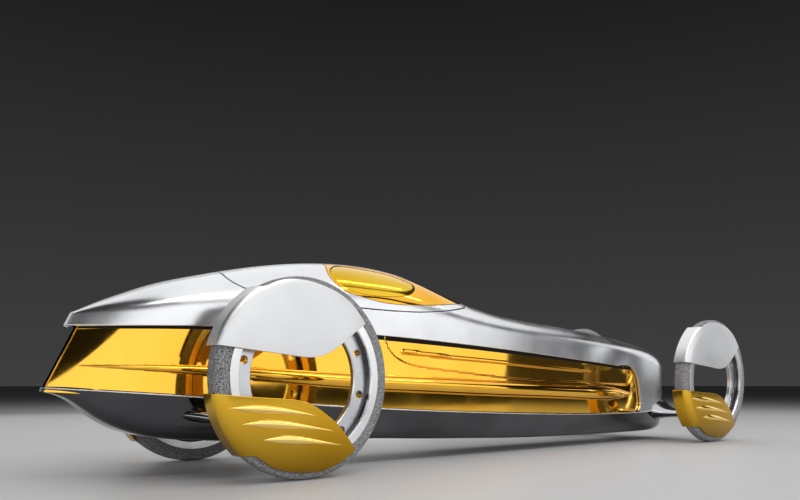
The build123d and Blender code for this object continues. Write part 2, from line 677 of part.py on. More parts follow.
# Cabin
rear_x = 0.045 * WHEELBASE
keep("rear_bulkhead", cabin & block(rear_x, rear_x + BULKHEAD_WALL, -Y_REACH, Y_REACH, 0, 800.0))
keep("seat_shell", seat_shell(cabin))
keep("seat_cushion", seat_cushion())
dash_x = 0.385 * WHEELBASE
dashboard = cabin & block(dash_x, dash_x + 90.0, -Y_REACH, Y_REACH, 600.0, 760.0)
keep("dashboard", dashboard)
column_length = 130.0
column_z = 670.0
column_plane = Plane(origin=(dash_x, 0, column_z), x_dir=(0, 1, 0), z_dir=(-1, 0, 0))
keep("steering_column", Solid.make_cylinder(COLUMN_RADIUS, column_length, column_plane))
wheel_plane = Plane(origin=(dash_x - column_length - STEERING_RIM_RADIUS, 0, column_z),
                    x_dir=(0, 1, 0), z_dir=(-1, 0, 0))
steering_wheel = Solid.make_torus(STEERING_WHEEL_RADIUS, STEERING_RIM_RADIUS, wheel_plane)
hub_plane = wheel_plane.offset(-STEERING_RIM_RADIUS)
steering_wheel = steering_wheel + Solid.make_cylinder(1.6 * COLUMN_RADIUS, 20.0, hub_plane)
for side in (1, -1):
    low, high = sorted((side * COLUMN_RADIUS, side * STEERING_WHEEL_RADIUS))
    x = wheel_plane.origin.X
    steering_wheel = steering_wheel + block(x - 5, x + 5, low, high, column_z - 14, column_z + 14)
keep("steering_wheel", steering_wheel)
front_x = 0.54 * WHEELBASE
firewall = block(front_x, front_x + BULKHEAD_WALL, -Y_REACH, Y_REACH, 0, 690.0) & cabin
for side in (1, -1):
    low, high = sorted((side * 50.0, side * 130.0))
    firewall = firewall + block(front_x - 60, front_x - 48, low, high, 260.0, 360.0)
    middle = side * 90.0
    firewall = firewall + block(front_x - 50, front_x + 2, middle - 10, middle + 10, 290, 310)
keep("pedal_bulkhead", firewall)
unit_x = front_x + 100.0
keep("power_unit", cabin & block(unit_x, unit_x + 640.0, -160.0, 160.0, 0, 540.0))

# Wheels, their rings, covers and arms
tyre_solid = tyre()
rim_solid = rim()
stator_solid = stator()
top_solid = cover(TOP_COVER_FOOT, TOP_COVER_CROWN, 1.35, TOP_COVER_POSTS)
lower_solid = cover(LOWER_COVER_TOP, LOWER_COVER_FOOT, 1.30, LOWER_COVER_POSTS)
core = dome_core()
for line in BLADES:
    lower_solid = lower_solid + (blade(line) - core)
CORNERS = [
    # name, distance of the axle from the rear axle, side, steered
    ("rl", 0.0, 1, False),
    ("rr", 0.0, -1, False),
    ("fl", WHEELBASE, 1, True),
    ("fr", WHEELBASE, -1, True),
]
for corner, axle_x, side, steered in CORNERS:
    pieces = {"tyre": tyre_solid, "rim": rim_solid, "stator_ring": stator_solid,
              "top_cover": top_solid, "lower_cover": lower_solid}
    spot = Location((axle_x, side * WHEEL_Y, AXLE_HEIGHT))
    for name, solid in pieces.items():
        if side < 0:
            solid = solid.mirror(Plane.XZ)
        keep(name + "_" + corner, solid.moved(spot))
    rows = FRONT_ARM if steered else REAR_ARM
    limb = arm(rows, axle_x, hull_outer, side)
    at = (axle_x, side * WHEEL_Y)
    ring = stator_solid.moved(spot)
    if steered:
        eye = Solid.make_cylinder(KINGPIN_RADIUS + KINGPIN_FIT, 2 * ARM_EYE_HEIGHT, Plane(
            origin=(*at, ARM_TIP_HEIGHT - ARM_EYE_HEIGHT)))
        limb = limb - eye
        keep("kingpin_" + corner, kingpin(axle_x, side, ring))
    else:
        foot = Solid.make_cylinder(ARM_FOOT_RADIUS, ARM_TIP_HEIGHT - ring_foot, Plane(
            origin=(*at, ring_foot)))
        limb = limb + (foot - ring)
    keep("arm_" + corner, limb)

for name, shape in NODES.items():
    export_step(shape, os.path.join("parts", name + ".step"))
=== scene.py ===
import bpy
import json
import math
import numpy as np
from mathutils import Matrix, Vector

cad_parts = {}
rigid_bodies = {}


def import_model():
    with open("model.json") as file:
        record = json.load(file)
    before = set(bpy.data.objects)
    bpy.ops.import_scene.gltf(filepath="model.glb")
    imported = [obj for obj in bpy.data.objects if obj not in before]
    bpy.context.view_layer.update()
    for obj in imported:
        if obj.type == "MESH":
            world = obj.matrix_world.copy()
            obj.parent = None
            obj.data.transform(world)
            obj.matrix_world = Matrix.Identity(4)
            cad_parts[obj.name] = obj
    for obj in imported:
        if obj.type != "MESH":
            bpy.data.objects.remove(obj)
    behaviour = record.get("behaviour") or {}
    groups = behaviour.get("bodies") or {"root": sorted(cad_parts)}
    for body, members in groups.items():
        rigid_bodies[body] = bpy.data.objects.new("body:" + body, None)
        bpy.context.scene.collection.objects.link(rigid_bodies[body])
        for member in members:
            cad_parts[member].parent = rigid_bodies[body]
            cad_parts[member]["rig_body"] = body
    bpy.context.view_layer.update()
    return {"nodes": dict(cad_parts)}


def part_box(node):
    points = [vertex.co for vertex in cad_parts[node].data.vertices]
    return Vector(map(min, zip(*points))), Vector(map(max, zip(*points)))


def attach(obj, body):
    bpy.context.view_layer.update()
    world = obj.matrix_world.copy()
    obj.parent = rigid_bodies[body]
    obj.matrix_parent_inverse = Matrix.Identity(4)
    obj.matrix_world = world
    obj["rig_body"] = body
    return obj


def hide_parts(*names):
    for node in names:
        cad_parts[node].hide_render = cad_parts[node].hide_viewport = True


for stray in list(bpy.data.objects):
    bpy.data.objects.remove(stray)
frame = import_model()

# Surfaces are worked out in millimetres from the rear axle: X forward, Y left, Z up.
# The wheelbase, the wheels' places and the tyre's size come from the frame.
MM = 0.001


def middle(node, axis):
    low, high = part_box(node)
    return (low[axis] + high[axis]) / 2


def extent(node, axis):
    low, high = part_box(node)
    return (high[axis] - low[axis]) / MM


REAR_AXLE = middle("rim_rl", 0)
WHEELBASE = (middle("rim_fl", 0) - REAR_AXLE) / MM
WHEEL_Y = middle("rim_rl", 1) / MM
TYRE_RADIUS = extent("tyre_rl", 2) / 2
RIM_HALF = extent("rim_rl", 1) / 2
AXLE_HEIGHT = TYRE_RADIUS

# Sizes of the body's skins
HALF_WIDTH = 302
LEAN_HEIGHT = 400
STEEPEST_CROWN = 0.92
SHOULDER_FULLNESS = 2.6
SIDE_SHARE = 0.42
SIDE_DROP = 14
SHELL_WALL = 14
HULL_WALL = 12
PANEL_WALL = 8
PANE_WALL = 6
EDGE_ROLL = 3.5
FINE_ROLL = 1.5
SHUT_GAP = 5
GOLD_RECESS = 25
CHANNEL_DEPTH = 20
CHANNEL_BLEND = 14
STRAKE_BLEND = 9
STERN_OVERHANG = 48
HULL_OVERHANG = 42
WINDOW_RECESS = 3
PANE_CROWN = 14
PANE_CROWN_WIDTH = 85
TAIL_STRIP_HALF = 20
CHINE_ROUND = 70
TAIL_CAP = 5
CAP_SPAN = 1
SHARP_EDGE = 40
# Radius and lift of the bright rod along the sill, a painted highlight
HIGHLIGHT_ROD_RADIUS = 2.6
HIGHLIGHT_ROD_LIFT = -1
# Turn round the tail's end face at each of its rows, in degrees
CAP_TURNS = [90, 88.2, 70.9, 45.9, 25.3, 8, 1.5, 0.1]
STEP_ALONG = 16
STEP_ACROSS = 13
# Where the flat keel and the bend beside it end, as shares of the way to the hull's edge
KEEL_SHARE = 0.3
BEND_SHARE = 0.6
# Most of the side's length and of the keel's half width that the chine's round takes
CHINE_SIDE = 0.45
CHINE_KEEL = 0.6
# Powers that set how full the tail's end, the spear and the arms are in section
CAP_POWER = 0.2
SPEAR_POWER = 0.72
ARM_POWER = 0.8

# Grids of the body's pieces: rough length across, ends as shares of the wheelbase, steps, rows
UPPER_LENGTH = 1750
HULL_LENGTH = 900
WINDOW_SPAN = (0.08, 0.3)
WINDOW_STEP = 8
WINDOW_ROWS = 110
HULL_STEP = 21
HATCH_REVEAL = 2
WINDOW_REVEAL = 1
# Gold side panels and the black strip along their upper edge, a painted shadow for the gap under
# the silver edge
PANEL_UNDERLAP = 16
PANEL_OVERLAP = 26
PANEL_NOSE_SHARE = 0.905
PANEL_STEP = 12
PANEL_ROLL = 2
LEAST_BAND = 8
SHADOW_GAP_STEP = 20
SHADOW_GAP_PROUD = 3
SHADOW_GAP_ROLL = 0.8
# Bright rod along the sill, a painted highlight for the hull's top edge, and the strip that closes
# the tail
HIGHLIGHT_ROD_STEP = 20
HIGHLIGHT_ROD_SIDES = 12
STRIP_WALL = 6
STRIP_ROLL = 1
STRIP_CROWN = 2
STRIP_BELOW = 10
STRIP_ABOVE = 20

# Body sections from tail to nose. Columns: station as a share of the wheelbase, lean of the
# section, half width as a share of HALF_WIDTH, keel width as a share of the half width,
# heights of the bottom, the shoulder's foot and the top.
SECTIONS = [
    (-0.273, 0.5, 0.08, 0.6, 392, 726, 738),
    (-0.2457, 0.42, 0.24, 0.62, 366, 733, 781),
    (-0.2122, 0.33, 0.43, 0.66, 298, 737, 824),
    (-0.1563, 0.2, 0.7, 0.72, 202, 740, 885),
    (-0.0838, 0.08, 0.885, 0.78, 163, 744, 943),
    (0.0279, 0, 0.98, 0.82, 145, 752, 1024),
    (0.1954, 0, 1, 0.84, 130, 756, 1076),
    (0.2931, 0, 0.99, 0.84, 113, 748, 1031),
    (0.3908, 0, 0.97, 0.84, 100, 736, 930),
    (0.4606, 0, 0.955, 0.84, 90, 722, 881),
    (0.67, 0, 0.87, 0.84, 73, 684, 824),
    (0.8654, 0, 0.755, 0.84, 68, 626, 761),
    (0.9631, 0, 0.63, 0.82, 66, 580, 711),
    (1.0106, 0, 0.47, 0.78, 72, 545, 660),
    (1.0357, 0, 0.29, 0.74, 90, 524, 600),
    (1.0474, 0, 0.11, 0.7, 120, 500, 530),
]
NOSE_TIP = (1.0486, 0, 0, 0.7, 134, 506, 506)

# Side view outlines, repeated from the part: station as a share of the wheelbase, height
EDGE_LINE = [(-0.4, 684), (-0.234, 676), (-0.084, 684), (0.159, 683), (0.325, 661),
             (0.573, 612), (0.806, 557)]
PANEL_NOSE = [(0.806, 557), (0.866, 536), (0.885, 460), (0.8935, 345)]
PANEL_TOE = [(0.8935, 345), (0.8965, 262), (0.88, 216.5)]
SILL_LINE = [(0.88, 216.5), (0.789, 216), (0.601, 230), (0.325, 269), (0.123, 309),
             (-0.097, 366), (-0.258, 407), (-0.4, 436)]
NOSE_SEAM = [(1, 222), (1.2, 232)]
CHANNEL_LINE = [(0.2, 700), (0.203, 640), (0.233, 551), (0.274, 520), (0.338, 500),
                (0.457, 468), (0.619, 448), (0.838, 422)]
CHANNEL_NOSE = [(0.838, 422), (0.862, 440), (0.872, 500), (0.845, 545)]
STRAKE_TOP = [(0.235, 612), (0.338, 586), (0.457, 566), (0.59, 541), (0.74, 508)]
STRAKE_BOTTOM = [(0.74, 508), (0.59, 531), (0.457, 555), (0.338, 575), (0.235, 598)]
HATCH_LINE = [(-0.04, 1000), (-0.042, 970), (-0.047, 925), (-0.036, 884), (0, 855),
              (0.08, 831), (0.19, 818), (0.28, 828), (0.345, 858), (0.4146, 912)]
CANOPY_LINE = [(0.13, 1120), (0.1152, 1041), (0.1045, 980), (0.1137, 920), (0.145, 880),
               (0.188, 857), (0.24, 855), (0.3, 870), (0.355, 893), (0.4, 921),
               (0.43, 980)]
WINDOW_LINE = [(0.1095, 985), (0.12, 930), (0.1431, 898), (0.185, 888), (0.2266, 899),
               (0.256, 932), (0.2675, 975), (0.2494, 1011), (0.2125, 1036),
               (0.17, 1050), (0.125, 1036)]
LID_TOP = 1300

# Spear along each side panel: station, height, share of its size
SPEAR = [(-0.222, 503, 0.06), (-0.08, 483, 0.52), (0.08, 449, 0.8), (0.27, 422, 0.95),
         (0.47, 396, 1), (0.67, 371, 0.98), (0.81, 357, 0.8), (0.858, 353, 0.25)]
SPEAR_REACH = 46
SPEAR_PROUD = 36
# How far the tips run past the table, as shares of the wheelbase, and the length they round over
SPEAR_TIPS = (0.004, 0.006)
SPEAR_ROUNDS = (14, 21)
# Half height of the panel's rows over the spear: its least share, and what the size adds
SPEAR_ROWS = (0.35, 0.7)
STRAKE_SHIFT = 0.9

# Tyre's cross-section from the middle of the tread to the rim: radius, distance from the middle
TYRE_SECTION = [(450, 0), (450, 16), (446.5, 28), (437, 38.5), (420, 44.6),
                (400, 46.4), (388, 46), (380, 44.5), (373, 42.5)]
TYRE_WALL = 20
TYRE_HOLLOW_HALF = 30
TYRE_BEAD = [(392, 36), (373, 36)]
TYRE_ROWS = 22
TYRE_TURNS = 220

# Rim: lip by radius and distance past the rim's face, half of the barrel by radius and distance
# from the middle
LIP_SECTION = [(345, -12), (345, -1.5), (346.5, 0), (382.5, 0), (384, -1.5),
               (384, -6), (372, -6), (372, -12)]
BARREL_SECTION = [(340.3, 12), (345, 18), (345, RIM_HALF - 12), (372, RIM_HALF - 12)]

# Wheel covers: a dome over the wheel's face, a round shoulder and a wrap over the tread
COVER_WALL = 7
COVER_TREAD_GAP = 6
COVER_RIM_GAP = 6
COVER_HUB = 60
COVER_EDGE_RADIUS = 392
COVER_DOME = 16
COVER_SHOULDER = 30
COVER_WRAP = 44
COVER_ROLL = 2.4
SHOULDER_LENGTH = 88
POST_CIRCLE = 310
POST_START = 14
POST_SINK = 3.5
# Distance from the post's foot, or back from its head, and radius
POST_FOOT = [(0, 20), (3, 20), (5, 15), (12, 13)]
POST_HEAD = [(12, 13), (5, 15), (0, 20)]
POST_TURNS = 32
TOP_COVER_POSTS = [58, 122]
LOWER_COVER_POSTS = [-68, -122]

# Outlines of the covers from the axle, forward and up, as shares of the tyre's radius
TOP_COVER_FOOT = [(-1.08, 0.305), (-0.64, 0.255), (-0.208, 0.211), (0.04, 0.204),
                  (0.27, 0.288), (0.54, 0.472), (0.672, 0.562)]
TOP_COVER_CROWN = [(0.672, 0.562), (0.497, 0.761), (0.165, 0.914), (-0.21, 0.953),
                   (-0.402, 0.904), (-0.53, 0.858), (-0.64, 0.905)]
LOWER_COVER_TOP = [(-1.1, -0.14), (-0.856, -0.161), (-0.375, -0.195), (-0.06, -0.238),
                   (0.15, -0.345), (0.367, -0.516), (0.547, -0.735)]
LOWER_COVER_FOOT = [(0.547, -0.735), (0.341, -0.855), (0.06, -0.925), (-0.216, -0.902),
                    (-0.464, -0.823), (-0.6, -0.736), (-0.76, -0.745)]
TOP_COVER_REACH = 1.35
LOWER_COVER_REACH = 1.30
# First and last angle of each cover's grid, and its number of rows
TOP_COVER_TURNS = (10, 200, 210)
LOWER_COVER_TURNS = (175, 320, 170)
DOME_ROWS = 52
WRAP_ROWS = 34
# Blades embossed on each lower cover: tail, belly, waist and nose
BLADES = [
    [(-0.865, -0.279), (-0.66, -0.29), (-0.28, -0.322), (0.032, -0.365)],
    [(-0.742, -0.428), (-0.575, -0.43), (-0.14, -0.467), (0.245, -0.522)],
    [(-0.529, -0.582), (-0.38, -0.584), (0.02, -0.62), (0.356, -0.67)],
]
BLADE_SIZES = [1, 17, 14, 1]
BLADE_SINK = 0.45
BLADE_LEAST = 0.6
BLADE_ROWS = 44
BLADE_TURNS = 28

# Arms from the body to the foot of the wheel's ring. Columns: share of the way out, distance
# ahead of the axle, height, chord, thickness.
REAR_ARM = [
    (-0.35, -215, 288, 420, 92),
    (0.1, -170, 272, 330, 70),
    (0.5, -60, 232, 190, 52),
]
FRONT_ARM = [
    (-0.3, -60, 262, 440, 262),
    (-0.05, -55, 240, 380, 190),
    (0.08, -45, 219, 322, 122),
    (0.25, -30, 206, 260, 74),
    (0.5, -12, 204, 180, 52),
]
ARM_TIP_HEIGHT = 213
ARM_TIP_THICKNESS = 34
ARM_TIP_CHORD = 90
ARM_ROWS = 60
ARM_TURNS = 25
ARM_CORE = 9
ARM_OVERLAP = 2
ARM_EYE_RADIUS = 52
# Arm's eye under the ring: height from its middle, radius
EYE_SECTION = [(-22, 48), (-20.8, 50.8), (-18, 52), (18, 52), (20.8, 50.8),
               (22, 48)]
EYE_TURNS = 72

# Seat pad in side view: rows of distance from the rear axle and height of the seat's face
SEAT_TOP = (419.1, 846)
SEAT_HIP = (789.1, 316)
SEAT_KNEE = (1124.1, 342)
SEAT_PAD = 45
SEAT_GAP = 0.3
SEAT_CHANNELS = 9
CHANNEL_SINK = 7
CHANNEL_POWER = 12
SEAT_BEND = 90
SEAT_RUN = (0.03, 0.975)
SEAT_ROWS = 150
SEAT_TURNS = 64
# At the pad's ends: length of the fade, least fade, and shares of thickness and width left
SEAT_FADE = 0.05
SEAT_LEAST = 0.0004
SEAT_THIN = 0.35
SEAT_NARROW = 0.90
SEAT_LIFT = 4
# Pull of the channels at the sides, and powers and shares that shape the pad's section
SEAT_PULL = 1.5
SEAT_PULL_POWER = 6
SEAT_SIDE_POWER = 0.35
SEAT_FACE_POWER = 0.55
SEAT_FLANK = 0.82
SEAT_CROWN_TURN = 1.5

# Most points measured at a time, halvings that place a cut, turns of a rolled edge in degrees
BATCH = 20000
HALVINGS = 14
ROLL_TURNS = [30, 60, 90]
SIDES = [(1, "left"), (-1, "right")]


def to_frame(points):
    """Points in millimetres from the rear axle, as metres in the shared frame."""
    return np.asarray(points) * MM + np.array([REAR_AXLE, 0, 0])


def circle(count):
    """Even angles once round."""
    return np.linspace(0, 2 * np.pi, count, endpoint=False)


def spline(knots, values):
    """Curve with smooth bends through the values at the knots, as a function."""
    knots = np.asarray(knots, float)
    values = np.asarray(values, float).reshape(len(knots), -1)
    steps = np.diff(knots)
    count = len(knots)
    system, right = np.eye(count), np.zeros_like(values)
    for i in range(1, count - 1):
        system[i, i - 1:i + 2] = steps[i - 1], 2 * (steps[i - 1] + steps[i]), steps[i]
        after = (values[i + 1] - values[i]) / steps[i]
        before = (values[i] - values[i - 1]) / steps[i - 1]
        right[i] = 6 * (after - before)
    bends = np.linalg.solve(system, right)

    def curve(t):
        t = np.asarray(t, float)
        i = np.clip(np.searchsorted(knots, t, side="right") - 1, 0, count - 2)
        span = steps[i][..., None]
        b = (t - knots[i])[..., None]
        a = span - b
        cubic = (bends[i] * a ** 3 + bends[i + 1] * b ** 3) / (6 * span)
        low = (values[i] / span - bends[i] * span / 6) * a
        high = (values[i + 1] / span - bends[i + 1] * span / 6) * b
        return cubic + low + high

    return curve


def chords(points):
    """Running length along a row of points."""
    points = np.asarray(points, float)
    return np.concatenate([[0], np.cumsum(np.linalg.norm(np.diff(points, axis=0), axis=1))])


def drawn(line, step=12):
    """Side view line as closely spaced points on its smooth curve, in millimetres."""
    points = np.array([(share * WHEELBASE, z) for share, z in line])
    knots = chords(points)
    count = max(int(knots[-1] / step), 4)
    return spline(knots, points)(np.linspace(0, knots[-1], count))


def drawn_loop(line, step=8):
    """Closed smooth outline through the points."""
    points = np.array([(share * WHEELBASE, z) for share, z in line])
    around = np.concatenate([points, points, points, points[:1]])
    knots = chords(around)
    first, last = knots[len(points)], knots[2 * len(points)]
    count = int((last - first) / step)
    return spline(knots, around)(np.linspace(first, last, count, endpoint=False))


def closed(lines, corners=()):
    """Closed outline through drawn lines and then the corners."""
    return np.concatenate([drawn(line) for line in lines] + [np.array([c]) for c in corners])


def lid(line):
    """Outline of what lies above a line, closed far over the body."""
    ends = [line[-1][0], line[0][0]]
    return closed([line], [(share * WHEELBASE, LID_TOP) for share in ends])


def region(outline):
    """Signed distance to a closed outline as a function of x and z, positive inside."""
    start = np.asarray(outline, float)
    end = np.roll(start, -1, axis=0)
    run = end - start
    size = np.maximum((run ** 2).sum(1), 1e-9)

    def distance(x, z):
        flat_x, flat_z = np.ravel(x), np.ravel(z)
        result = np.empty(len(flat_x))
        for first in range(0, len(flat_x), BATCH):
            px = flat_x[first:first + BATCH, None]
            pz = flat_z[first:first + BATCH, None]
            dx, dz = px - start[:, 0], pz - start[:, 1]
            along = np.clip((dx * run[:, 0] + dz * run[:, 1]) / size, 0, 1)
            gap = np.hypot(dx - along * run[:, 0], dz - along * run[:, 1]).min(1)
            above = (start[:, 1] <= pz) != (end[:, 1] <= pz)
            rise = np.where(np.abs(run[:, 1]) < 1e-9, 1e-9, run[:, 1])
            crossing = start[:, 0] + dz / rise * run[:, 0]
            inside = (above & (px < crossing)).sum(1) % 2 == 1
            result[first:first + BATCH] = np.where(inside, gap, -gap)
        return result.reshape(np.shape(x))

    return distance


in_panel = region(closed([EDGE_LINE, PANEL_NOSE, PANEL_TOE, SILL_LINE]))
in_hatch = region(lid(HATCH_LINE))
in_canopy = region(lid(CANOPY_LINE))
in_window = region(drawn_loop(WINDOW_LINE))
channel_corner = (CHANNEL_NOSE[-1][0] * WHEELBASE, CHANNEL_LINE[0][1])
in_channel = region(closed([CHANNEL_LINE, CHANNEL_NOSE], [channel_corner]))
in_strake = region(closed([STRAKE_TOP, STRAKE_BOTTOM]))

seam_points = sorted(SILL_LINE + NOSE_SEAM)
seam_height = spline([share * WHEELBASE for share, _ in seam_points], [z for _, z in seam_points])
edge_height = spline([share * WHEELBASE for share, _ in EDGE_LINE], [z for _, z in EDGE_LINE])


def section_rows():
    """Section table in millimetres, with the nose tip and its mirror image past it."""
    rows = []
    for station, lean, half, keel, bottom, foot, top in SECTIONS + [NOSE_TIP]:
        wide = half * HALF_WIDTH
        foot = top - min(top - foot, STEEPEST_CROWN * wide)
        rows.append((station * WHEELBASE, lean, wide, keel, bottom, foot, top))
    for x, lean, wide, keel, bottom, foot, top in rows[-2:-4:-1]:
        rows.append((x, lean, -wide, keel, bottom, foot, top))
    return np.array(rows)


ROWS = section_rows()
ROW_KNOTS = chords(ROWS[:, [0, 2, 4, 6]])
body_columns = spline(ROW_KNOTS, ROWS)
TAIL_X = ROWS[0, 0]
NOSE_U = ROW_KNOTS[len(SECTIONS)]
station_u = spline(ROWS[:len(SECTIONS), 0], ROW_KNOTS[:len(SECTIONS)])


def at_section(u, stern=0):
    """Columns of the section at u; below zero, u turns round the tail's end face."""
    columns = body_columns(np.maximum(u, 0))
    x, lean, half, keel, bottom, foot, top = np.moveaxis(columns, -1, 0)
    turn = np.clip(-u / CAP_SPAN, 0, 1) * np.pi / 2
    half = half * np.maximum(np.cos(turn), 0) ** CAP_POWER
    x = x + stern * np.maximum(x / TAIL_X, 0) * (x < 0) - TAIL_CAP * np.sin(turn) ** CAP_POWER
    return x, lean, half, keel, bottom, foot, top


def upper_point(u, w):
    """Outer skin above the sill. w runs from the left sill, 1, over the top to the right, -1."""
    x, lean, half, _, _, foot, top = at_section(u)
    sill = seam_height(x)[..., 0] - SIDE_DROP
    rise = np.clip((1 - np.abs(w)) / SIDE_SHARE, 0, 1)
    turn = np.clip((1 - np.abs(w) - SIDE_SHARE) / (1 - SIDE_SHARE), 0, 1) * np.pi / 2
    y = np.sign(w) * half * np.cos(turn)
    z = sill + rise * (foot - sill) + (top - foot) * np.sin(turn) ** (2 / SHOULDER_FULLNESS)
    return np.stack([x + lean * (z - LEAN_HEIGHT), y, z], axis=-1)


def hull_point(u, w):
    """Skin under the seam. w runs from the left edge, 1, under the keel to the right, -1."""
    x, lean, half, keel, bottom, _, _ = at_section(u, HULL_OVERHANG)
    sill = seam_height(x)[..., 0]
    corner_y = half * keel
    side = np.hypot(half - corner_y, sill - bottom)
    bend = np.minimum(CHINE_ROUND, np.minimum(CHINE_SIDE * side, CHINE_KEEL * corner_y))
    way_y, way_z = (half - corner_y) / (side + 1e-9), (sill - bottom) / (side + 1e-9)
    reach = np.abs(w)
    flat = np.clip(reach / KEEL_SHARE, 0, 1)
    turn = np.clip((reach - KEEL_SHARE) / (BEND_SHARE - KEEL_SHARE), 0, 1)
    rise = np.clip((reach - BEND_SHARE) / (1 - BEND_SHARE), 0, 1)
    y = flat * (corner_y - bend) + (2 * turn * (1 - turn) + turn ** 2) * bend
    y = y + turn ** 2 * bend * way_y + rise * (side - bend) * way_y
    z = bottom + turn ** 2 * bend * way_z + rise * (side - bend) * way_z
    return np.stack([x + lean * (z - LEAN_HEIGHT), np.sign(w) * y, z], axis=-1)


spear_heights = spline([s * WHEELBASE for s, _, _ in SPEAR], [(z, size) for _, z, size in SPEAR])
SPEAR_START = (SPEAR[0][0] - SPEAR_TIPS[0]) * WHEELBASE
SPEAR_END = (SPEAR[-1][0] + SPEAR_TIPS[1]) * WHEELBASE


def smooth_step(value):
    value = np.clip(value, 0, 1)
    return value * value * (3 - 2 * value)


def spear_at(x):
    """Height and size of the spear, its size falling to nothing past both tips."""
    inner = np.clip(x, SPEAR[0][0] * WHEELBASE, SPEAR[-1][0] * WHEELBASE)
    height, size = np.moveaxis(spear_heights(inner), -1, 0)
    tail = np.clip((x - SPEAR_START) / SPEAR_ROUNDS[0], 0, 1)
    nose = np.clip((SPEAR_END - x) / SPEAR_ROUNDS[1], 0, 1)
    return height, size * np.sqrt(tail * nose)


def panel_relief(x, z):
    """How far the panel stands proud of its plain side: spear, scoop and strake."""
    scoop = smooth_step(in_channel(x, z) / CHANNEL_BLEND + 0.5)
    strake = smooth_step(in_strake(x, z) / STRAKE_BLEND + STRAKE_SHIFT)
    height, size = spear_at(x)
    offset = (z - height) / (SPEAR_REACH * size + 1e-6)
    rib = SPEAR_PROUD * size * np.maximum(1 - offset ** 2, 0) ** SPEAR_POWER
    return -CHANNEL_DEPTH * scoop * (1 - strake) + rib


def panel_height(x, v):
    """Height of a panel row: v 0 to 1 up to the spear, 1 to 2 over it, 2 to 3 above it."""
    low = seam_height(x)[..., 0] - PANEL_UNDERLAP
    high = edge_height(x)[..., 0] + PANEL_OVERLAP
    height, size = spear_at(x)
    reach = SPEAR_REACH * (SPEAR_ROWS[0] + SPEAR_ROWS[1] * size)
    under = np.maximum(height - reach, low + LEAST_BAND)
    over = height + reach
    below = low + np.clip(v, 0, 1) * (under - low)
    on_spear = np.clip(v - 1, 0, 1) * (over - under)
    above = np.clip(v - 2, 0, 1) * (high - over)
    return below + on_spear + above


def panel_point(u, v, side):
    """Point of a gold side panel: u as on the body, v as in panel_height."""
    x, lean, half = at_section(np.maximum(u, 0), STERN_OVERHANG)[:3]
    z = panel_height(x, v)
    place = x + lean * (z - LEAN_HEIGHT)
    z = panel_height(place, v)
    place = x + lean * (z - LEAN_HEIGHT)
    y = half * (1 - GOLD_RECESS / HALF_WIDTH) + panel_relief(place, z)
    return np.stack([place, side * y, z], axis=-1)


def slopes(point, u, w, step_u=0.6, step_w=0.0008):
    """Unit normals of a surface from its slopes both ways."""
    along = point(u + step_u, w) - point(u - step_u, w)
    across = point(u, w + step_w) - point(u, w - step_w)
    return unit(np.cross(along, across))


def cut_patch(us, ws, inside):
    """Grid over a patch, cut along the line where inside(u, w) turns negative."""
    u, w = np.meshgrid(us, ws, indexing="ij")
    value = inside(u, w)
    keep = value > 0
    index = np.full(u.shape, -1)
    index[keep] = np.arange(keep.sum())
    chosen = [np.stack([u[keep], w[keep]], axis=-1)]
    total = keep.sum()
    crossings = []
    every, start, rest = slice(None), slice(None, -1), slice(1, None)
    for first, second in (((start, every), (rest, every)), ((every, start), (every, rest))):
        cut = keep[first] != keep[second]
        a = np.stack([u[first][cut], w[first][cut]], axis=-1)
        b = np.stack([u[second][cut], w[second][cut]], axis=-1)
        turned_round = ~keep[first][cut]
        a[turned_round], b[turned_round] = b[turned_round], a[turned_round].copy()
        for _ in range(HALVINGS):
            half_way = (a + b) / 2
            held = (inside(half_way[:, 0], half_way[:, 1]) > 0)[:, None]
            a = np.where(held, half_way, a)
            b = np.where(held, b, half_way)
        ids = np.full(cut.shape, -1)
        ids[cut] = total + np.arange(cut.sum())
        total += cut.sum()
        chosen.append(a)
        crossings.append(ids)
    mixed = keep[:-1, :-1].astype(int) + keep[1:, :-1] + keep[1:, 1:] + keep[:-1, 1:]
    i, j = np.nonzero(mixed == 4)
    quads = [index[i, j], index[i + 1, j], index[i + 1, j + 1], index[i, j + 1]]
    faces = np.stack(quads, axis=-1).tolist()
    for i, j in zip(*np.nonzero((mixed > 0) & (mixed < 4))):
        corners = [(i, j), (i + 1, j), (i + 1, j + 1), (i, j + 1)]
        sides = [crossings[0][i, j], crossings[1][i + 1, j], crossings[0][i, j + 1],
                 crossings[1][i, j]]
        face = []
        for corner, side in zip(corners, sides):
            if keep[corner]:
                face.append(int(index[corner]))
            if side >= 0:
                face.append(int(side))
        if len(face) > 2:
            faces.append(face)
    return np.concatenate(chosen), faces


def welded(points, normals, faces):
    """Merge points that share a place, and drop what that collapses."""
    _, first, inverse = np.unique(np.round(points, 2), axis=0, return_index=True,
                                  return_inverse=True)
    inverse = inverse.ravel()
    kept = []
    for face in faces:
        ring = []
        for corner in face:
            corner = int(inverse[corner])
            if not ring or ring[-1] != corner:
                ring.append(corner)
        if ring[0] == ring[-1]:
            ring.pop()
        if len(set(ring)) > 2:
            kept.append(ring)
    return points[first], normals[first], kept


def rims(faces):
    """Directed edges that only one face uses."""
    edges = set()
    for face in faces:
        edges.update(zip(face, face[1:] + face[:1]))
    return [(a, b) for a, b in sorted(edges) if (b, a) not in edges]


def unit(vectors):
    return vectors / np.maximum(np.linalg.norm(vectors, axis=-1, keepdims=True), 1e-12)


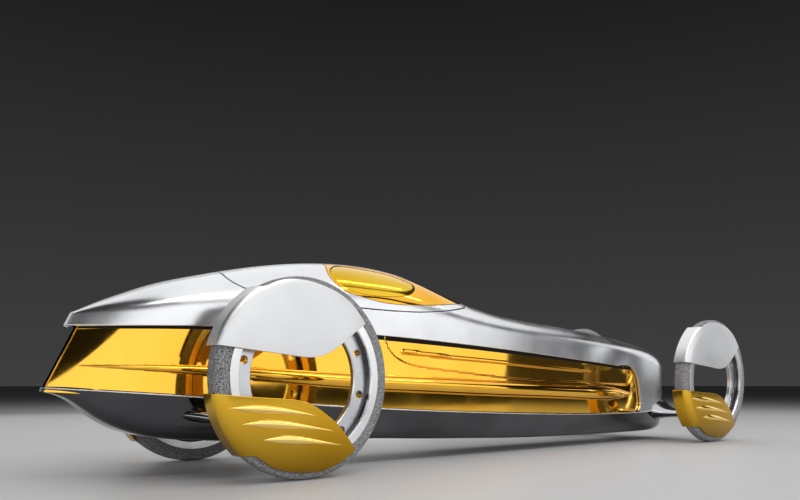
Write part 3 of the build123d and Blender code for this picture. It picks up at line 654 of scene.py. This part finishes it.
def thickened(points, normals, faces, wall, roll):
    """Closed skin from a sheet: rolled edge, flat rim and inner face."""
    edge = np.array(rims(faces))
    step = unit(points[edge[:, 1]] - points[edge[:, 0]])
    out = np.zeros_like(points)
    for end in (0, 1):
        np.add.at(out, edge[:, end], np.cross(step, normals[edge[:, end]]))
    rim, slot = np.unique(edge, return_inverse=True)
    slot = slot.reshape(edge.shape)
    base, shade, out = points[rim], normals[rim], unit(out)[rim]
    every, rows, shading = [points], [rim], [shade]
    count = len(points)
    for turn in np.radians(ROLL_TURNS):
        every.append(base + roll * (np.sin(turn) * out - (1 - np.cos(turn)) * shade))
        shading.append(np.cos(turn) * shade + np.sin(turn) * out)
        rows.append(count + np.arange(len(rim)))
        count += len(rim)
    inner = points - wall * normals
    inner[rim] += roll * out
    every.append(inner)
    rows.append(count + rim)
    shading.append(out)
    all_faces = list(faces)
    corner_normals = [normals[np.concatenate(faces)]]
    last = len(ROLL_TURNS)
    for level in range(last + 1):
        low_shade = out if level == last else shading[level]
        a, b = slot[:, 0], slot[:, 1]
        low, high = rows[level], rows[level + 1]
        all_faces.extend(np.stack([low[b], low[a], high[a], high[b]], axis=-1).tolist())
        band = [low_shade[b], low_shade[a], shading[level + 1][a], shading[level + 1][b]]
        corner_normals.append(np.stack(band, axis=1).reshape(-1, 3))
    backs = [face[::-1] for face in faces]
    all_faces.extend([corner + count for corner in face] for face in backs)
    corner_normals.append(-normals[np.concatenate(backs)])
    return np.concatenate(every), all_faces, np.concatenate(corner_normals)


def add_piece(name, points, faces, corner_normals, slot, nodes, body=None, finish=None):
    """Mesh that rides with, and stands for, its CAD nodes, in its slot's or a named finish."""
    mesh = bpy.data.meshes.new(name)
    mesh.from_pydata(to_frame(points).tolist(), [], faces)
    mesh.polygons.foreach_set("use_smooth", [True] * len(faces))
    if corner_normals is not None:
        mesh.normals_split_custom_set(corner_normals.tolist())
    mesh.materials.append(FINISH[finish or slot])
    piece = bpy.data.objects.new(name, mesh)
    bpy.context.scene.collection.objects.link(piece)
    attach(piece, body or frame["nodes"][nodes[0]]["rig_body"])
    if nodes:
        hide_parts(*nodes)
    return piece


def skin(name, us, ws, point, inside, wall, roll, facing, slot, nodes, recess=0, body=None,
         finish=None):
    """Panel cut from a surface patch; facing is 1 or -1, whichever turns it outward."""
    chosen, faces = cut_patch(us, ws, inside)
    u, w = chosen[:, 0], chosen[:, 1]
    normals = facing * slopes(point, u, w)
    points = point(u, w) - recess * normals
    if facing * (ws[-1] - ws[0]) < 0:
        faces = [face[::-1] for face in faces]
    points, normals, faces = welded(points, normals, faces)
    shape = thickened(points, normals, faces, wall, roll)
    return add_piece(name, *shape, slot, nodes, body, finish)


def lofted(rings, wrapped=False):
    """Faces of a tube through rings of points, closed at both ends or, wrapped, into a loop."""
    index = np.arange(rings.shape[0] * rings.shape[1]).reshape(rings.shape[:2])
    low, high = (index, np.roll(index, -1, axis=0)) if wrapped else (index[:-1], index[1:])
    sides = [low, np.roll(low, -1, axis=1), np.roll(high, -1, axis=1), high]
    faces = np.stack(sides, axis=-1).reshape(-1, 4).tolist()
    if not wrapped:
        faces += [index[0][::-1].tolist(), index[-1].tolist()]
    return rings.reshape(-1, 3), faces


def turned(section, turns):
    """Ring about the Y axis from a closed section of (radius, offset) points."""
    radius, offset = np.asarray(section, float).T
    angles = circle(turns)[:, None]
    across = [np.cos(angles) * radius, offset + 0 * angles, np.sin(angles) * radius]
    return lofted(np.stack(across, axis=-1), True)


def spool(rows, turns):
    """Rings about the Z axis from rows of (height, radius)."""
    angles = circle(turns)
    return np.array([np.stack([radius * np.cos(angles), radius * np.sin(angles),
                               np.full(turns, height)], axis=-1) for height, radius in rows])


def outward(points, faces):
    """Faces turned so that the closed shape's volume is positive."""
    volume = 0.0
    for face in faces:
        a = points[face[0]]
        for second, third in zip(face[1:], face[2:]):
            volume += np.dot(a, np.cross(points[second], points[third]))
    return faces if volume > 0 else [face[::-1] for face in faces]


def joined(shapes):
    """Several (points, faces) shapes as one."""
    points, faces = [], []
    count = 0
    for shape_points, shape_faces in shapes:
        points.append(shape_points)
        faces.extend([[corner + count for corner in face] for face in shape_faces])
        count += len(shape_points)
    return np.concatenate(points), faces


def solid_piece(name, shapes, slot, nodes, body=None, finish=None):
    """One piece from closed shapes, smooth except at sharp edges."""
    points, faces = joined([(p, outward(p, f)) for p, f in shapes])
    piece = add_piece(name, points, faces, None, slot, nodes, body, finish)
    piece.data.set_sharp_from_angle(angle=math.radians(SHARP_EDGE))
    return piece


# Materials
def new_material(name):
    material = bpy.data.materials.new(name)
    material.use_nodes = True
    tree = material.node_tree
    return material, tree, tree.nodes["Principled BSDF"].inputs


def add_node(tree, kind, inputs):
    """New shader node, each of its inputs set to a value or fed by another node's output."""
    node = tree.nodes.new("ShaderNode" + kind)
    for name, value in inputs.items():
        if isinstance(value, bpy.types.NodeSocket):
            tree.links.new(value, node.inputs[name])
        else:
            node.inputs[name].default_value = value
    return node


def noise(tree, scale, detail):
    """Noise in object space."""
    place = add_node(tree, "TexCoord", {}).outputs["Object"]
    inputs = {"Vector": place, "Scale": scale, "Detail": detail}
    return add_node(tree, "TexNoise", inputs).outputs["Fac"]


def mapped(tree, source, low, high, start=0.3, end=0.7):
    """Map a texture's middle range to low and high."""
    inputs = {"Value": source, "From Min": start, "From Max": end, "To Min": low, "To Max": high}
    return add_node(tree, "MapRange", inputs).outputs["Result"]


def shades(tree, source, dark, light, start=0.35, end=0.65):
    """Colour between two shades by a texture."""
    node = add_node(tree, "ValToRGB", {"Fac": source})
    stops = node.color_ramp.elements
    for stop, place, colour in zip(stops, (start, end), (dark, light)):
        stop.position = place
        stop.color = (*colour, 1)
    return node.outputs["Color"]


def bumped(tree, source, strength, distance):
    inputs = {"Height": source, "Strength": strength, "Distance": distance}
    return add_node(tree, "Bump", inputs).outputs["Normal"]


def painted_ground_shade(tree, colour, low, high, depth):
    """Painted shade: darken a colour towards the ground, from height high down to low, in metres.
    """
    place = add_node(tree, "TexCoord", {}).outputs["Object"]
    parts = add_node(tree, "SeparateXYZ", {"Vector": place})
    mix = add_node(tree, "VectorMath", {})
    mix.operation = "SCALE"
    tree.links.new(colour, mix.inputs[0])
    tree.links.new(mapped(tree, parts.outputs["Z"], depth, 1, low, high), mix.inputs["Scale"])
    return mix.outputs["Vector"]


def new_finish(name, dark, light, smooth, rough, grain, strength, distance, painted_shade=None,
               metallic=1):
    """Finish with cloudy colour and gloss over a fine grain, or speckled where it isn't metal, and
    with painted shade towards the ground where asked.
    """
    material, tree, shader = new_material(name)
    shader["Metallic"].default_value = metallic
    fine = noise(tree, grain, GRAIN_DETAIL if metallic else SPECKLE_DETAIL)
    colour = shades(tree, noise(tree, *CLOUD) if metallic else fine, dark, light)
    # Painted shade: the colour darkens towards the ground
    if painted_shade:
        colour = painted_ground_shade(tree, colour, *painted_shade)
    tree.links.new(colour, shader["Base Color"])
    wear = noise(tree, *WEAR) if metallic else fine
    tree.links.new(mapped(tree, wear, smooth, rough), shader["Roughness"])
    tree.links.new(bumped(tree, fine, strength, distance), shader["Normal"])
    return material


# Scale and detail of the noise in a metal's colour and gloss, and detail of the finer noises
CLOUD = (2.3, 2)
WEAR = (7, 4)
GRAIN_DETAIL = 2
SPECKLE_DETAIL = 5
# Columns: name, dark and light colour, least and most roughness, scale of the grain, strength and
# height of its relief, and for one finish the heights and depth of the painted shade that darkens
# its foot
METALS = [
    ("silver_satin", (0.74, 0.75, 0.77), (0.82, 0.83, 0.85), 0.2, 0.27, 900, 0.1, 0.0004),
    ("gold_polish", (0.94, 0.49, 0.05), (1, 0.56, 0.07), 0.035, 0.07, 30, 0.02, 0.0006),
    ("hull_polish", (0.07, 0.07, 0.075), (0.11, 0.11, 0.12), 0.06, 0.1, 40, 0.02, 0.0006),
    ("canopy_gold", (0.84, 0.42, 0.03), (0.94, 0.49, 0.05), 0.05, 0.08, 40, 0.02, 0.0005),
    ("window_gold", (0.66, 0.4, 0.02), (0.78, 0.5, 0.04), 0.1, 0.15, 60, 0.03, 0.0005),
    ("rim_bright", (0.86, 0.86, 0.87), (0.94, 0.94, 0.95), 0.22, 0.32, 700, 0.1, 0.0003),
    ("stator_metal", (0.62, 0.63, 0.65), (0.74, 0.75, 0.77), 0.22, 0.34, 800, 0.15, 0.0003),
    ("cover_silver", (0.72, 0.73, 0.74), (0.8, 0.81, 0.82), 0.3, 0.38, 1200, 0.45, 0.0008),
    # The lower covers' gold carries painted shade, darker towards the ground
    ("cover_gold", (0.94, 0.51, 0.03), (1, 0.59, 0.05), 0.08, 0.12, 900, 0.08, 0.0003,
     (0.03, 0.38, 0.26)),
    # Next row: the cover's gold made paler on the blades as a painted highlight; its lower
    # roughness is their own polish
    ("blade_gold_painted_highlight", (1, 0.66, 0.16), (1, 0.72, 0.22), 0.05, 0.08, 60, 0.02, 0.0003),
    # Next row: the rim's metal made near-black on the recessed barrel as painted shade
    ("rim_barrel_painted_shade", (0.1, 0.1, 0.105), (0.16, 0.16, 0.17), 0.12, 0.2, 300, 0.05, 0.0003),
    ("arm_silver", (0.5, 0.51, 0.53), (0.62, 0.63, 0.65), 0.12, 0.2, 500, 0.06, 0.0003),
    ("steel", (0.42, 0.42, 0.43), (0.55, 0.55, 0.56), 0.22, 0.34, 600, 0.2, 0.0003),
]
PLAINS = [
    ("tyre_rubber", (0.05, 0.05, 0.051), (0.42, 0.42, 0.43), 0.55, 0.85, 150, 0.8, 0.004),
    # Next row: near-black painted shadow for the gap under the silver edge
    ("edge_seal", (0.004, 0.004, 0.004), (0.008, 0.008, 0.008), 0.8, 0.95, 400, 0.1, 0.0004),
    ("leather", (0.022, 0.019, 0.017), (0.045, 0.04, 0.035), 0.35, 0.5, 260, 0.35, 0.001),
    ("cabin_trim", (0.03, 0.03, 0.032), (0.055, 0.055, 0.06), 0.5, 0.7, 500, 0.3, 0.0006),
]
FINISH = {row[0]: new_finish(*row) for row in METALS}
FINISH.update({row[0]: new_finish(*row, metallic=0) for row in PLAINS})


# Body skins
def rows_along(first, last, step=STEP_ALONG):
    return np.linspace(first, last, max(int((last - first) / step), 2) + 1)


def rows_across(length, step=STEP_ACROSS):
    """Even steps from 1 to -1 over a strip of this length."""
    return np.linspace(1, -1, 2 * int(length / step / 2) + 1)


def u_at(share):
    return float(station_u(share * WHEELBASE)[..., 0])


def rows_over(span, step):
    """Rows of a piece between two shares of the wheelbase."""
    return rows_along(u_at(span[0]), u_at(span[1]), step)


CAP_ROWS = [-CAP_SPAN * turn / 90.0 for turn in CAP_TURNS]
BODY_U = np.concatenate([CAP_ROWS, rows_along(0, NOSE_U)])


def on_upper(test):
    """A region of the side view as one of u and w on the upper skin."""
    def inside(u, w):
        places = upper_point(u, w)
        return test(places[..., 0], places[..., 2])
    return inside


def upper_region(x, z):
    above = z - seam_height(x)[..., 0]
    clear = np.minimum(-in_panel(x, z), -in_hatch(x, z) - SHUT_GAP)
    return np.minimum(above, clear) - EDGE_ROLL


def hatch_region(x, z):
    return np.minimum(in_hatch(x, z), -in_canopy(x, z) - HATCH_REVEAL) - FINE_ROLL


def canopy_region(x, z):
    whole = np.minimum(in_canopy(x, z), in_hatch(x, z))
    return np.minimum(whole, -in_window(x, z) - WINDOW_REVEAL) - FINE_ROLL


def window_region(x, z):
    return in_window(x, z) - FINE_ROLL


def everywhere(u, w):
    return np.ones_like(u)


def pane_point(u, w):
    """Window pane, crowned a little proud of the canopy's own curve."""
    base = upper_point(u, w)
    depth = np.clip(in_window(base[..., 0], base[..., 2]) / PANE_CROWN_WIDTH, 0, 1)
    return base + (PANE_CROWN * (1 - (1 - depth) ** 2))[..., None] * slopes(upper_point, u, w)


skin("silver_shell", BODY_U, rows_across(UPPER_LENGTH), upper_point, on_upper(upper_region),
     SHELL_WALL, EDGE_ROLL, 1, "silver_satin", ["upper_shell"])
# Pieces with a fine grid: name, ends as shares of the wheelbase, steps, region, wall, slot, node
LIDS = [
    ("silver_hatch", (-0.06, 0.43), (12, 11), hatch_region, 14, "silver_satin", "hatch_shell"),
    ("gold_canopy", (0.1, 0.44), (10, 9), canopy_region, 10, "canopy_gold", "canopy"),
]
for name, ends, steps, test, wall, slot, node in LIDS:
    skin(name, rows_over(ends, steps[0]), rows_across(UPPER_LENGTH, steps[1]), upper_point,
         on_upper(test), wall, FINE_ROLL, 1, slot, [node])
for side, name in SIDES:
    skin("gold_window_" + name, rows_over(WINDOW_SPAN, WINDOW_STEP),
         np.linspace(side, 0, WINDOW_ROWS), pane_point, on_upper(window_region), PANE_WALL,
         FINE_ROLL, 1, "window_gold", ["canopy_window_" + name], WINDOW_RECESS)
skin("dark_hull", BODY_U, rows_across(HULL_LENGTH, HULL_STEP), hull_point, everywhere, HULL_WALL,
     EDGE_ROLL, -1, "hull_polish", ["hull"])


def sill_highlight_rod():
    """Thin bright rod round the car where the silver and gold meet the hull, a painted highlight
    for the light on the hull's edge.
    """
    u = rows_along(0, NOSE_U, HIGHLIGHT_ROD_STEP)
    left = hull_point(u, np.ones_like(u))
    right = hull_point(u, -np.ones_like(u))[::-1]
    path = np.concatenate([left, right[1:]])
    path[:, 2] += HIGHLIGHT_ROD_LIFT
    way = unit(np.gradient(path, axis=0))
    up = np.array([0, 0, 1])
    side = unit(np.cross(way, up))[:, None]
    turns = circle(HIGHLIGHT_ROD_SIDES)[None, :, None]
    return lofted(path[:, None] + HIGHLIGHT_ROD_RADIUS * (np.cos(turns) * side + np.sin(turns) * up))


# Bright silver rod along the sill: a painted highlight
solid_piece("sill_highlight_rod", [sill_highlight_rod()], "rim_bright", [], "chassis")

# Rows below, over and above the spear; the black strip of painted shadow covers the last of them
PANEL_ROWS = np.concatenate([np.linspace(0, 1, 9)[:-1], np.linspace(1, 2, 22)[:-1],
                             np.linspace(2, 3, 38)])
SHADOW_GAP_ROWS = np.linspace(2.8, 3, 7)


def strip_point(u, v):
    """Flat gold strip closing the tail: u up its height, v across it."""
    low = seam_height(TAIL_X)[..., 0] - STRIP_BELOW
    high = edge_height(TAIL_X)[..., 0] + STRIP_ABOVE
    z = low + u * (high - low)
    x = TAIL_X + STERN_OVERHANG + SECTIONS[0][1] * (z - LEAN_HEIGHT)
    y = v * (TAIL_STRIP_HALF - STRIP_ROLL)
    return np.stack([x - STRIP_CROWN * (1 - v * v), y, z], axis=-1)


for side, name in SIDES:
    skin("gold_panel_" + name, rows_along(0, u_at(PANEL_NOSE_SHARE), PANEL_STEP), PANEL_ROWS,
         lambda u, v, side=side: panel_point(u, v, side), everywhere, PANEL_WALL, PANEL_ROLL, -side,
         "gold_polish", ["side_panel_" + name])
    # Near-black strip along the panel's top: painted shadow in the gap under the silver edge
    skin("edge_seal_" + name, rows_along(0, u_at(PANEL_NOSE_SHARE), SHADOW_GAP_STEP), SHADOW_GAP_ROWS,
         lambda u, v, side=side: panel_point(u, v, side) + np.array([0, SHADOW_GAP_PROUD * side, 0]),
         everywhere, SHADOW_GAP_PROUD, SHADOW_GAP_ROLL, -side, "cabin_trim", [], body="chassis",
         finish="edge_seal")

chosen, faces = cut_patch(np.linspace(0, 1, 20), np.linspace(1, -1, 9), everywhere)
u, v = chosen[:, 0], chosen[:, 1]
shape = thickened(strip_point(u, v), -slopes(strip_point, u, v, 0.01, 0.01),
                  [face[::-1] for face in faces], STRIP_WALL, STRIP_ROLL)
add_piece("gold_tail_strip", *shape, "gold_polish", ["tail_strip"])

# Wheels, covers and arms
# Columns: name, distance of the axle from the rear axle, side, body of the covers
CORNERS = [
    ("rl", 0, 1, "chassis"),
    ("rr", 0, -1, "chassis"),
    ("fl", WHEELBASE, 1, "knuckle_fl"),
    ("fr", WHEELBASE, -1, "knuckle_fr"),
]


def dome(radius):
    """Height of the outside of a cover's dome over the wheel's middle."""
    share = (radius ** 2 - COVER_HUB ** 2) / (COVER_EDGE_RADIUS ** 2 - COVER_HUB ** 2)
    return RIM_HALF + COVER_RIM_GAP + COVER_WALL + COVER_DOME * (1 - share)


DOME_LENGTH = COVER_EDGE_RADIUS - COVER_HUB
COVER_LENGTH = DOME_LENGTH + SHOULDER_LENGTH + COVER_SHOULDER + COVER_WRAP
WRAP_RADIUS = TYRE_RADIUS + COVER_TREAD_GAP + COVER_WALL


def cover_profile(length):
    """Radius and height over the wheel's middle, by length from the hub outward."""
    flat = np.clip(length, 0, DOME_LENGTH) + COVER_HUB
    turn = np.clip((length - DOME_LENGTH) / SHOULDER_LENGTH, 0, 1)
    edge = dome(COVER_EDGE_RADIUS)
    slope = dome(COVER_EDGE_RADIUS + 1) - edge
    knee = edge + slope * (WRAP_RADIUS - COVER_EDGE_RADIUS)
    lead, pull, tail = (1 - turn) ** 2, 2 * turn * (1 - turn), turn ** 2
    radius = lead * COVER_EDGE_RADIUS + (pull + tail) * WRAP_RADIUS
    height = lead * edge + pull * knee + tail * COVER_SHOULDER
    height = height - np.maximum(length - DOME_LENGTH - SHOULDER_LENGTH, 0)
    on_dome = length < DOME_LENGTH
    return np.where(on_dome, flat, radius), np.where(on_dome, dome(flat), height)


def cover_outline(low, high, reach):
    """Outline of a cover about its axle, closed past the trailing side of the tread."""
    scale = TYRE_RADIUS / WHEELBASE
    rows = [drawn([(a * scale, b * TYRE_RADIUS) for a, b in line], 8) for line in (low, high)]
    height = (rows[0][0][1] + rows[1][-1][1]) / 2
    return np.concatenate(rows + [[(-reach * TYRE_RADIUS, height)]])


def cover_skin(name, corner, axle, side, outline, turns, slot):
    """Cover of one wheel, cut from the domed skin by its outline across the wheel."""
    test = region(outline)

    def point(length, turn):
        radius, height = cover_profile(length)
        return np.stack([axle + radius * np.cos(turn), side * (WHEEL_Y + height),
                         AXLE_HEIGHT + radius * np.sin(turn)], axis=-1)

    def inside(length, turn):
        radius, _ = cover_profile(length)
        edge = COVER_LENGTH - length
        return np.minimum(test(radius * np.cos(turn), radius * np.sin(turn)), edge) - COVER_ROLL

    last = COVER_LENGTH - COVER_ROLL - 0.01
    lengths = np.concatenate([np.linspace(0, DOME_LENGTH, DOME_ROWS)[:-1],
                              np.linspace(DOME_LENGTH, last, WRAP_ROWS)])
    skin(name + "_skin_" + corner, lengths, np.radians(np.linspace(*turns)), point, inside,
         COVER_WALL, COVER_ROLL, -side, slot, [name + "_" + corner])


def blade_shape(line, axle, side):
    """Leaf embossed on a lower cover, sharp at both ends."""
    points = np.array([(a * TYRE_RADIUS, b * TYRE_RADIUS) for a, b in line])
    knots = chords(points)
    at = np.linspace(0, knots[-1], BLADE_ROWS)
    centre = spline(knots, points)(at)
    least = BLADE_LEAST * np.interp(at, knots, BLADE_SIZES)
    size = np.maximum(spline(knots, BLADE_SIZES)(at)[:, 0], least)
    way = unit(np.gradient(centre, axis=0))
    height = dome(np.hypot(centre[:, 0], centre[:, 1])) - BLADE_SINK * size
    turns = circle(BLADE_TURNS)
    width = np.cos(turns) * size[:, None]
    x = axle + centre[:, 0, None] - width * way[:, 1, None]
    z = AXLE_HEIGHT + centre[:, 1, None] + width * way[:, 0, None]
    y = side * (WHEEL_Y + height[:, None] + np.sin(turns) * size[:, None])
    return lofted(np.stack([x, y, z], axis=-1))


def post_shape(angle, axle, side):
    """Turned post from the ring's face to the cover, flared at both ends."""
    head = dome(POST_CIRCLE) - COVER_WALL + POST_SINK
    rows = [(POST_START + way, radius) for way, radius in POST_FOOT]
    rows += [(head - way, radius) for way, radius in POST_HEAD]
    rings = spool(rows, POST_TURNS)[..., [0, 2, 1]] + np.array([0, WHEEL_Y, 0])
    turn = math.radians(angle)
    place = [axle + POST_CIRCLE * math.cos(turn), 0, AXLE_HEIGHT + POST_CIRCLE * math.sin(turn)]
    return lofted(rings * np.array([1, side, 1]) + np.array(place))


def about_wheel(section, axle, side):
    points, faces = turned(section, TYRE_TURNS)
    return points + np.array([axle, side * WHEEL_Y, AXLE_HEIGHT]), faces


def tyre_shape(axle, side):
    rows = np.array(TYRE_SECTION)
    knots = chords(rows)
    fine = spline(knots, rows)(np.linspace(0, knots[-1], TYRE_ROWS))
    fine[:, 0] = np.minimum(fine[:, 0], TYRE_RADIUS)
    hollow = TYRE_RADIUS - TYRE_WALL
    inner = np.array([(hollow, 0), (hollow, TYRE_HOLLOW_HALF)] + TYRE_BEAD)
    half = np.concatenate([fine, inner[::-1]])
    back = half[1:-1][::-1] * np.array([1, -1])
    return about_wheel(np.concatenate([half, back]), axle, side)


def lip_shapes(axle, side):
    """Bright raked lips on both faces of the rim."""
    sections = [[(radius, way * (RIM_HALF + past)) for radius, past in LIP_SECTION]
                for way in (1, -1)]
    return [about_wheel(section, axle, side) for section in sections]


def barrel_shape(axle, side):
    """Barrel of the rim with the running track inside it, near-black as painted shade in the recess
    between the lips.
    """
    mirrored = [(radius, -y) for radius, y in reversed(BARREL_SECTION)]
    return about_wheel(BARREL_SECTION + mirrored, axle, side)


def arm_sections(rows, axle):
    """Sections of an arm along its way out, as centres and sizes."""
    root = float(body_columns(station_u(axle)[..., 0])[..., 2].ravel()[0])
    table = [(root + share * (WHEEL_Y - root), axle + ahead, z, chord, thick)
             for share, ahead, z, chord, thick in rows]
    for back in (ARM_EYE_RADIUS, 0):
        table.append((WHEEL_Y - back, axle, ARM_TIP_HEIGHT, ARM_TIP_CHORD, ARM_TIP_THICKNESS))
    table = np.array(table)
    knots = chords(table[:, [0, 1, 2]])
    return spline(knots, table)(np.linspace(0, knots[-1], ARM_ROWS))


def arm_half(rows, axle, side, upper):
    """Upper or lower half of an arm's smooth skin."""
    start = 0.0 if upper else np.pi
    turns = np.linspace(start, start + np.pi, ARM_TURNS)
    overlap = -ARM_OVERLAP if upper else ARM_OVERLAP
    rings = []
    for y, x, z, chord, thick in arm_sections(rows, axle):
        cosine = np.cos(turns)
        ring_x = x + chord / 2 * np.sign(cosine) * np.abs(cosine) ** ARM_POWER
        ring_z = z + thick / 2 * np.sin(turns)
        core = np.linspace(ring_x[-1], ring_x[0], ARM_CORE)[1:-1]
        ring_x = np.concatenate([ring_x, core])
        ring_z = np.concatenate([ring_z, np.full(len(core), z + overlap)])
        rings.append(np.stack([ring_x, np.full(len(ring_x), side * y), ring_z], axis=-1))
    return lofted(np.array(rings))


def eye_shape(axle, side):
    """Round boss of the arm under the wheel's ring."""
    return lofted(spool(EYE_SECTION, EYE_TURNS) + np.array([axle, side * WHEEL_Y, ARM_TIP_HEIGHT]))


TOP_OUTLINE = cover_outline(TOP_COVER_FOOT, TOP_COVER_CROWN, TOP_COVER_REACH)
LOWER_OUTLINE = cover_outline(LOWER_COVER_TOP, LOWER_COVER_FOOT, LOWER_COVER_REACH)
for corner, axle, side, body in CORNERS:
    cover_skin("top_cover", corner, axle, side, TOP_OUTLINE, TOP_COVER_TURNS, "cover_silver")
    cover_skin("lower_cover", corner, axle, side, LOWER_OUTLINE, LOWER_COVER_TURNS, "cover_gold")
    # The blades' paler gold is a painted highlight
    solid_piece("cover_blades_" + corner, [blade_shape(line, axle, side) for line in BLADES],
                "cover_gold", [], body, "blade_gold_painted_highlight")
    solid_piece("cover_posts_" + corner,
                [post_shape(angle, axle, side) for angle in TOP_COVER_POSTS + LOWER_COVER_POSTS],
                "stator_metal", [], body)
    solid_piece("rim_lips_" + corner, lip_shapes(axle, side), "rim_bright", ["rim_" + corner])
    # The barrel's dark finish is painted shade
    solid_piece("rim_barrel_" + corner, [barrel_shape(axle, side)], "rim_bright", [],
                frame["nodes"]["rim_" + corner]["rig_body"], "rim_barrel_painted_shade")
    solid_piece("tyre_body_" + corner, [tyre_shape(axle, side)], "tyre_rubber", ["tyre_" + corner])
    rows = REAR_ARM if axle == 0.0 else FRONT_ARM
    solid_piece("arm_crown_" + corner, [arm_half(rows, axle, side, True), eye_shape(axle, side)],
                "arm_silver", ["arm_" + corner])
    solid_piece("arm_keel_" + corner, [arm_half(rows, axle, side, False)], "hull_polish", [],
                "chassis")


# Seat pad
def seat_row(run):
    """Points of the seat's face in side view, run from 0 at the head to 1 at the knee."""
    line = np.array([SEAT_TOP, SEAT_HIP, SEAT_KNEE])
    lengths = chords(line)
    back, pan = unit(np.diff(line, axis=0))
    past = (run * lengths[-1] - lengths[1])[:, None]
    turn = np.clip((past + SEAT_BEND) / (2 * SEAT_BEND), 0, 1)
    bend = SEAT_BEND * (turn ** 2 * pan - (1 - turn) ** 2 * back)
    straight = np.minimum(past + SEAT_BEND, 0) * back + np.maximum(past - SEAT_BEND, 0) * pan
    return line[1] + bend + straight


def seat_pad():
    """Crowned pad with sewn channels, back and pan in one."""
    low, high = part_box("seat_cushion")
    half = (high[1] - low[1]) / 2 / MM
    runs = np.linspace(*SEAT_RUN, SEAT_ROWS)
    rows = seat_row(runs)
    way = unit(np.gradient(rows, axis=0))
    normal = np.stack([-way[:, 1], way[:, 0]], axis=-1)
    turns = circle(SEAT_TURNS)
    side = np.sign(np.cos(turns)) * np.abs(np.cos(turns)) ** SEAT_SIDE_POWER
    face = np.maximum(np.sin(turns), 0) ** SEAT_FACE_POWER
    rings = []
    for index, run in enumerate(runs):
        end = min(min(run - SEAT_RUN[0], SEAT_RUN[1] - run) / SEAT_FADE, 1)
        full = math.sqrt(max(1 - (1 - end) ** 2, SEAT_LEAST))
        pull = 0.5 + 0.5 * math.cos(2 * math.pi * run * SEAT_CHANNELS)
        sink = CHANNEL_SINK * pull ** CHANNEL_POWER
        thick = (SEAT_PAD - sink) * (SEAT_THIN + (1 - SEAT_THIN) * full)
        wide = SEAT_NARROW + (1 - SEAT_NARROW) * full
        y = (half - SEAT_PULL * pull ** SEAT_PULL_POWER) * wide * side
        crown = SEAT_FLANK + (1 - SEAT_FLANK) * np.cos(y / half * SEAT_CROWN_TURN)
        lift = SEAT_GAP + (1 - full) * SEAT_LIFT + face * thick * crown
        centre = rows[index] + lift[:, None] * normal[index]
        rings.append(np.stack([centre[:, 0], y, centre[:, 1]], axis=-1))
    return lofted(np.array(rings))


cushion = solid_piece("seat_pad", [seat_pad()], "leather", ["seat_cushion"])

# Finishes of the CAD pieces that stay, with the starts of their names
CAD_FINISHES = {
    "steel": ("hinge_bracket", "steering_column", "kingpin"),
    "cabin_trim": ("rear_bulkhead", "seat_shell", "dashboard", "steering_wheel", "pedal_bulkhead"),
    "stator_metal": ("power_unit", "stator_ring"),
    "rim_bright": ("rim",),
}
for name, node in frame["nodes"].items():
    for finish, starts in CAD_FINISHES.items():
        if name.startswith(starts):
            for slot in node.material_slots:
                slot.material = FINISH[finish]


# Stage, lights and camera
def area_light(name, place, aim, size, glow):
    """Soft rectangular lamp; glow is how bright its face looks."""
    data = bpy.data.lights.new(name, "AREA")
    data.shape = "RECTANGLE"
    data.size, data.size_y = size
    data.energy = glow * math.pi * size[0] * size[1]
    light = bpy.data.objects.new(name, data)
    bpy.context.scene.collection.objects.link(light)
    light.location = place
    light.rotation_euler = (Vector(aim) - Vector(place)).to_track_quat("-Z", "Y").to_euler()
    light.visible_camera = False


# Name, place and aim in metres, width and height, brightness
LAMPS = [
    ("right_wall", (-1, -8, 2.6), (-1, 0, 0.8), (22, 4.4), 1.22),
    ("sky", (2.5, 0.2, 6.4), (2.4, 0.2, 0), (18, 12.4), 1.02),
    ("left_wall", (0.5, 8, 2.8), (0, 0, 0.8), (12, 4), 0.6),
    ("strip", (0, -3.2, 4.6), (0, 0, 0.6), (9, 0.35), 8),
    ("front", (9, -2, 2.4), (1.5, 0, 0.6), (4, 3.6), 1),
    ("rear_right", (-11, -4, 2.5), (-1.8, -0.2, 0.8), (9, 4.2), 1.1),
    ("rear_left", (-9, 5, 2.5), (-1.8, 0.2, 0.8), (7, 4), 0.7),
]
for lamp in LAMPS:
    area_light(*lamp)

FLOOR_HALF = 300
floor_corners = [(-1, -1), (1, -1), (1, 1), (-1, 1)]
floor_mesh = bpy.data.meshes.new("floor")
floor_mesh.from_pydata([(x * FLOOR_HALF, y * FLOOR_HALF, 0) for x, y in floor_corners], [],
                       [(0, 1, 2, 3)])
floor = bpy.data.objects.new("floor", floor_mesh)
bpy.context.scene.collection.objects.link(floor)
floor_finish, _, shader = new_material("floor")
shader["Base Color"].default_value = (0.62, 0.62, 0.63, 1)
shader["Roughness"].default_value = 0.45
floor_mesh.materials.append(floor_finish)

world = bpy.data.worlds.new("studio")
world.use_nodes = True
bpy.context.scene.world = world
tree = world.node_tree
sky = add_node(tree, "TexCoord", {}).outputs["Generated"]
rise = add_node(tree, "SeparateXYZ", {"Vector": sky}).outputs["Z"]
glow = shades(tree, rise, (0.05, 0.05, 0.052), (0.012, 0.012, 0.013), 0, 0.45)
tree.links.new(glow, tree.nodes["Background"].inputs["Color"])
tree.nodes["Background"].inputs["Strength"].default_value = 1.0

camera_data = bpy.data.cameras.new("camera")
camera_data.lens = 34.65
camera_data.sensor_width = 36.0
camera_data.shift_y = 0.16875
camera = bpy.data.objects.new("camera", camera_data)
bpy.context.scene.collection.objects.link(camera)
camera.location = (-3.4176, -3.475, 0.4194)
camera.rotation_euler = (math.radians(90), 0, math.radians(-40))
bpy.context.scene.camera = camera
bpy.context.scene.view_settings.view_transform = "Standard"
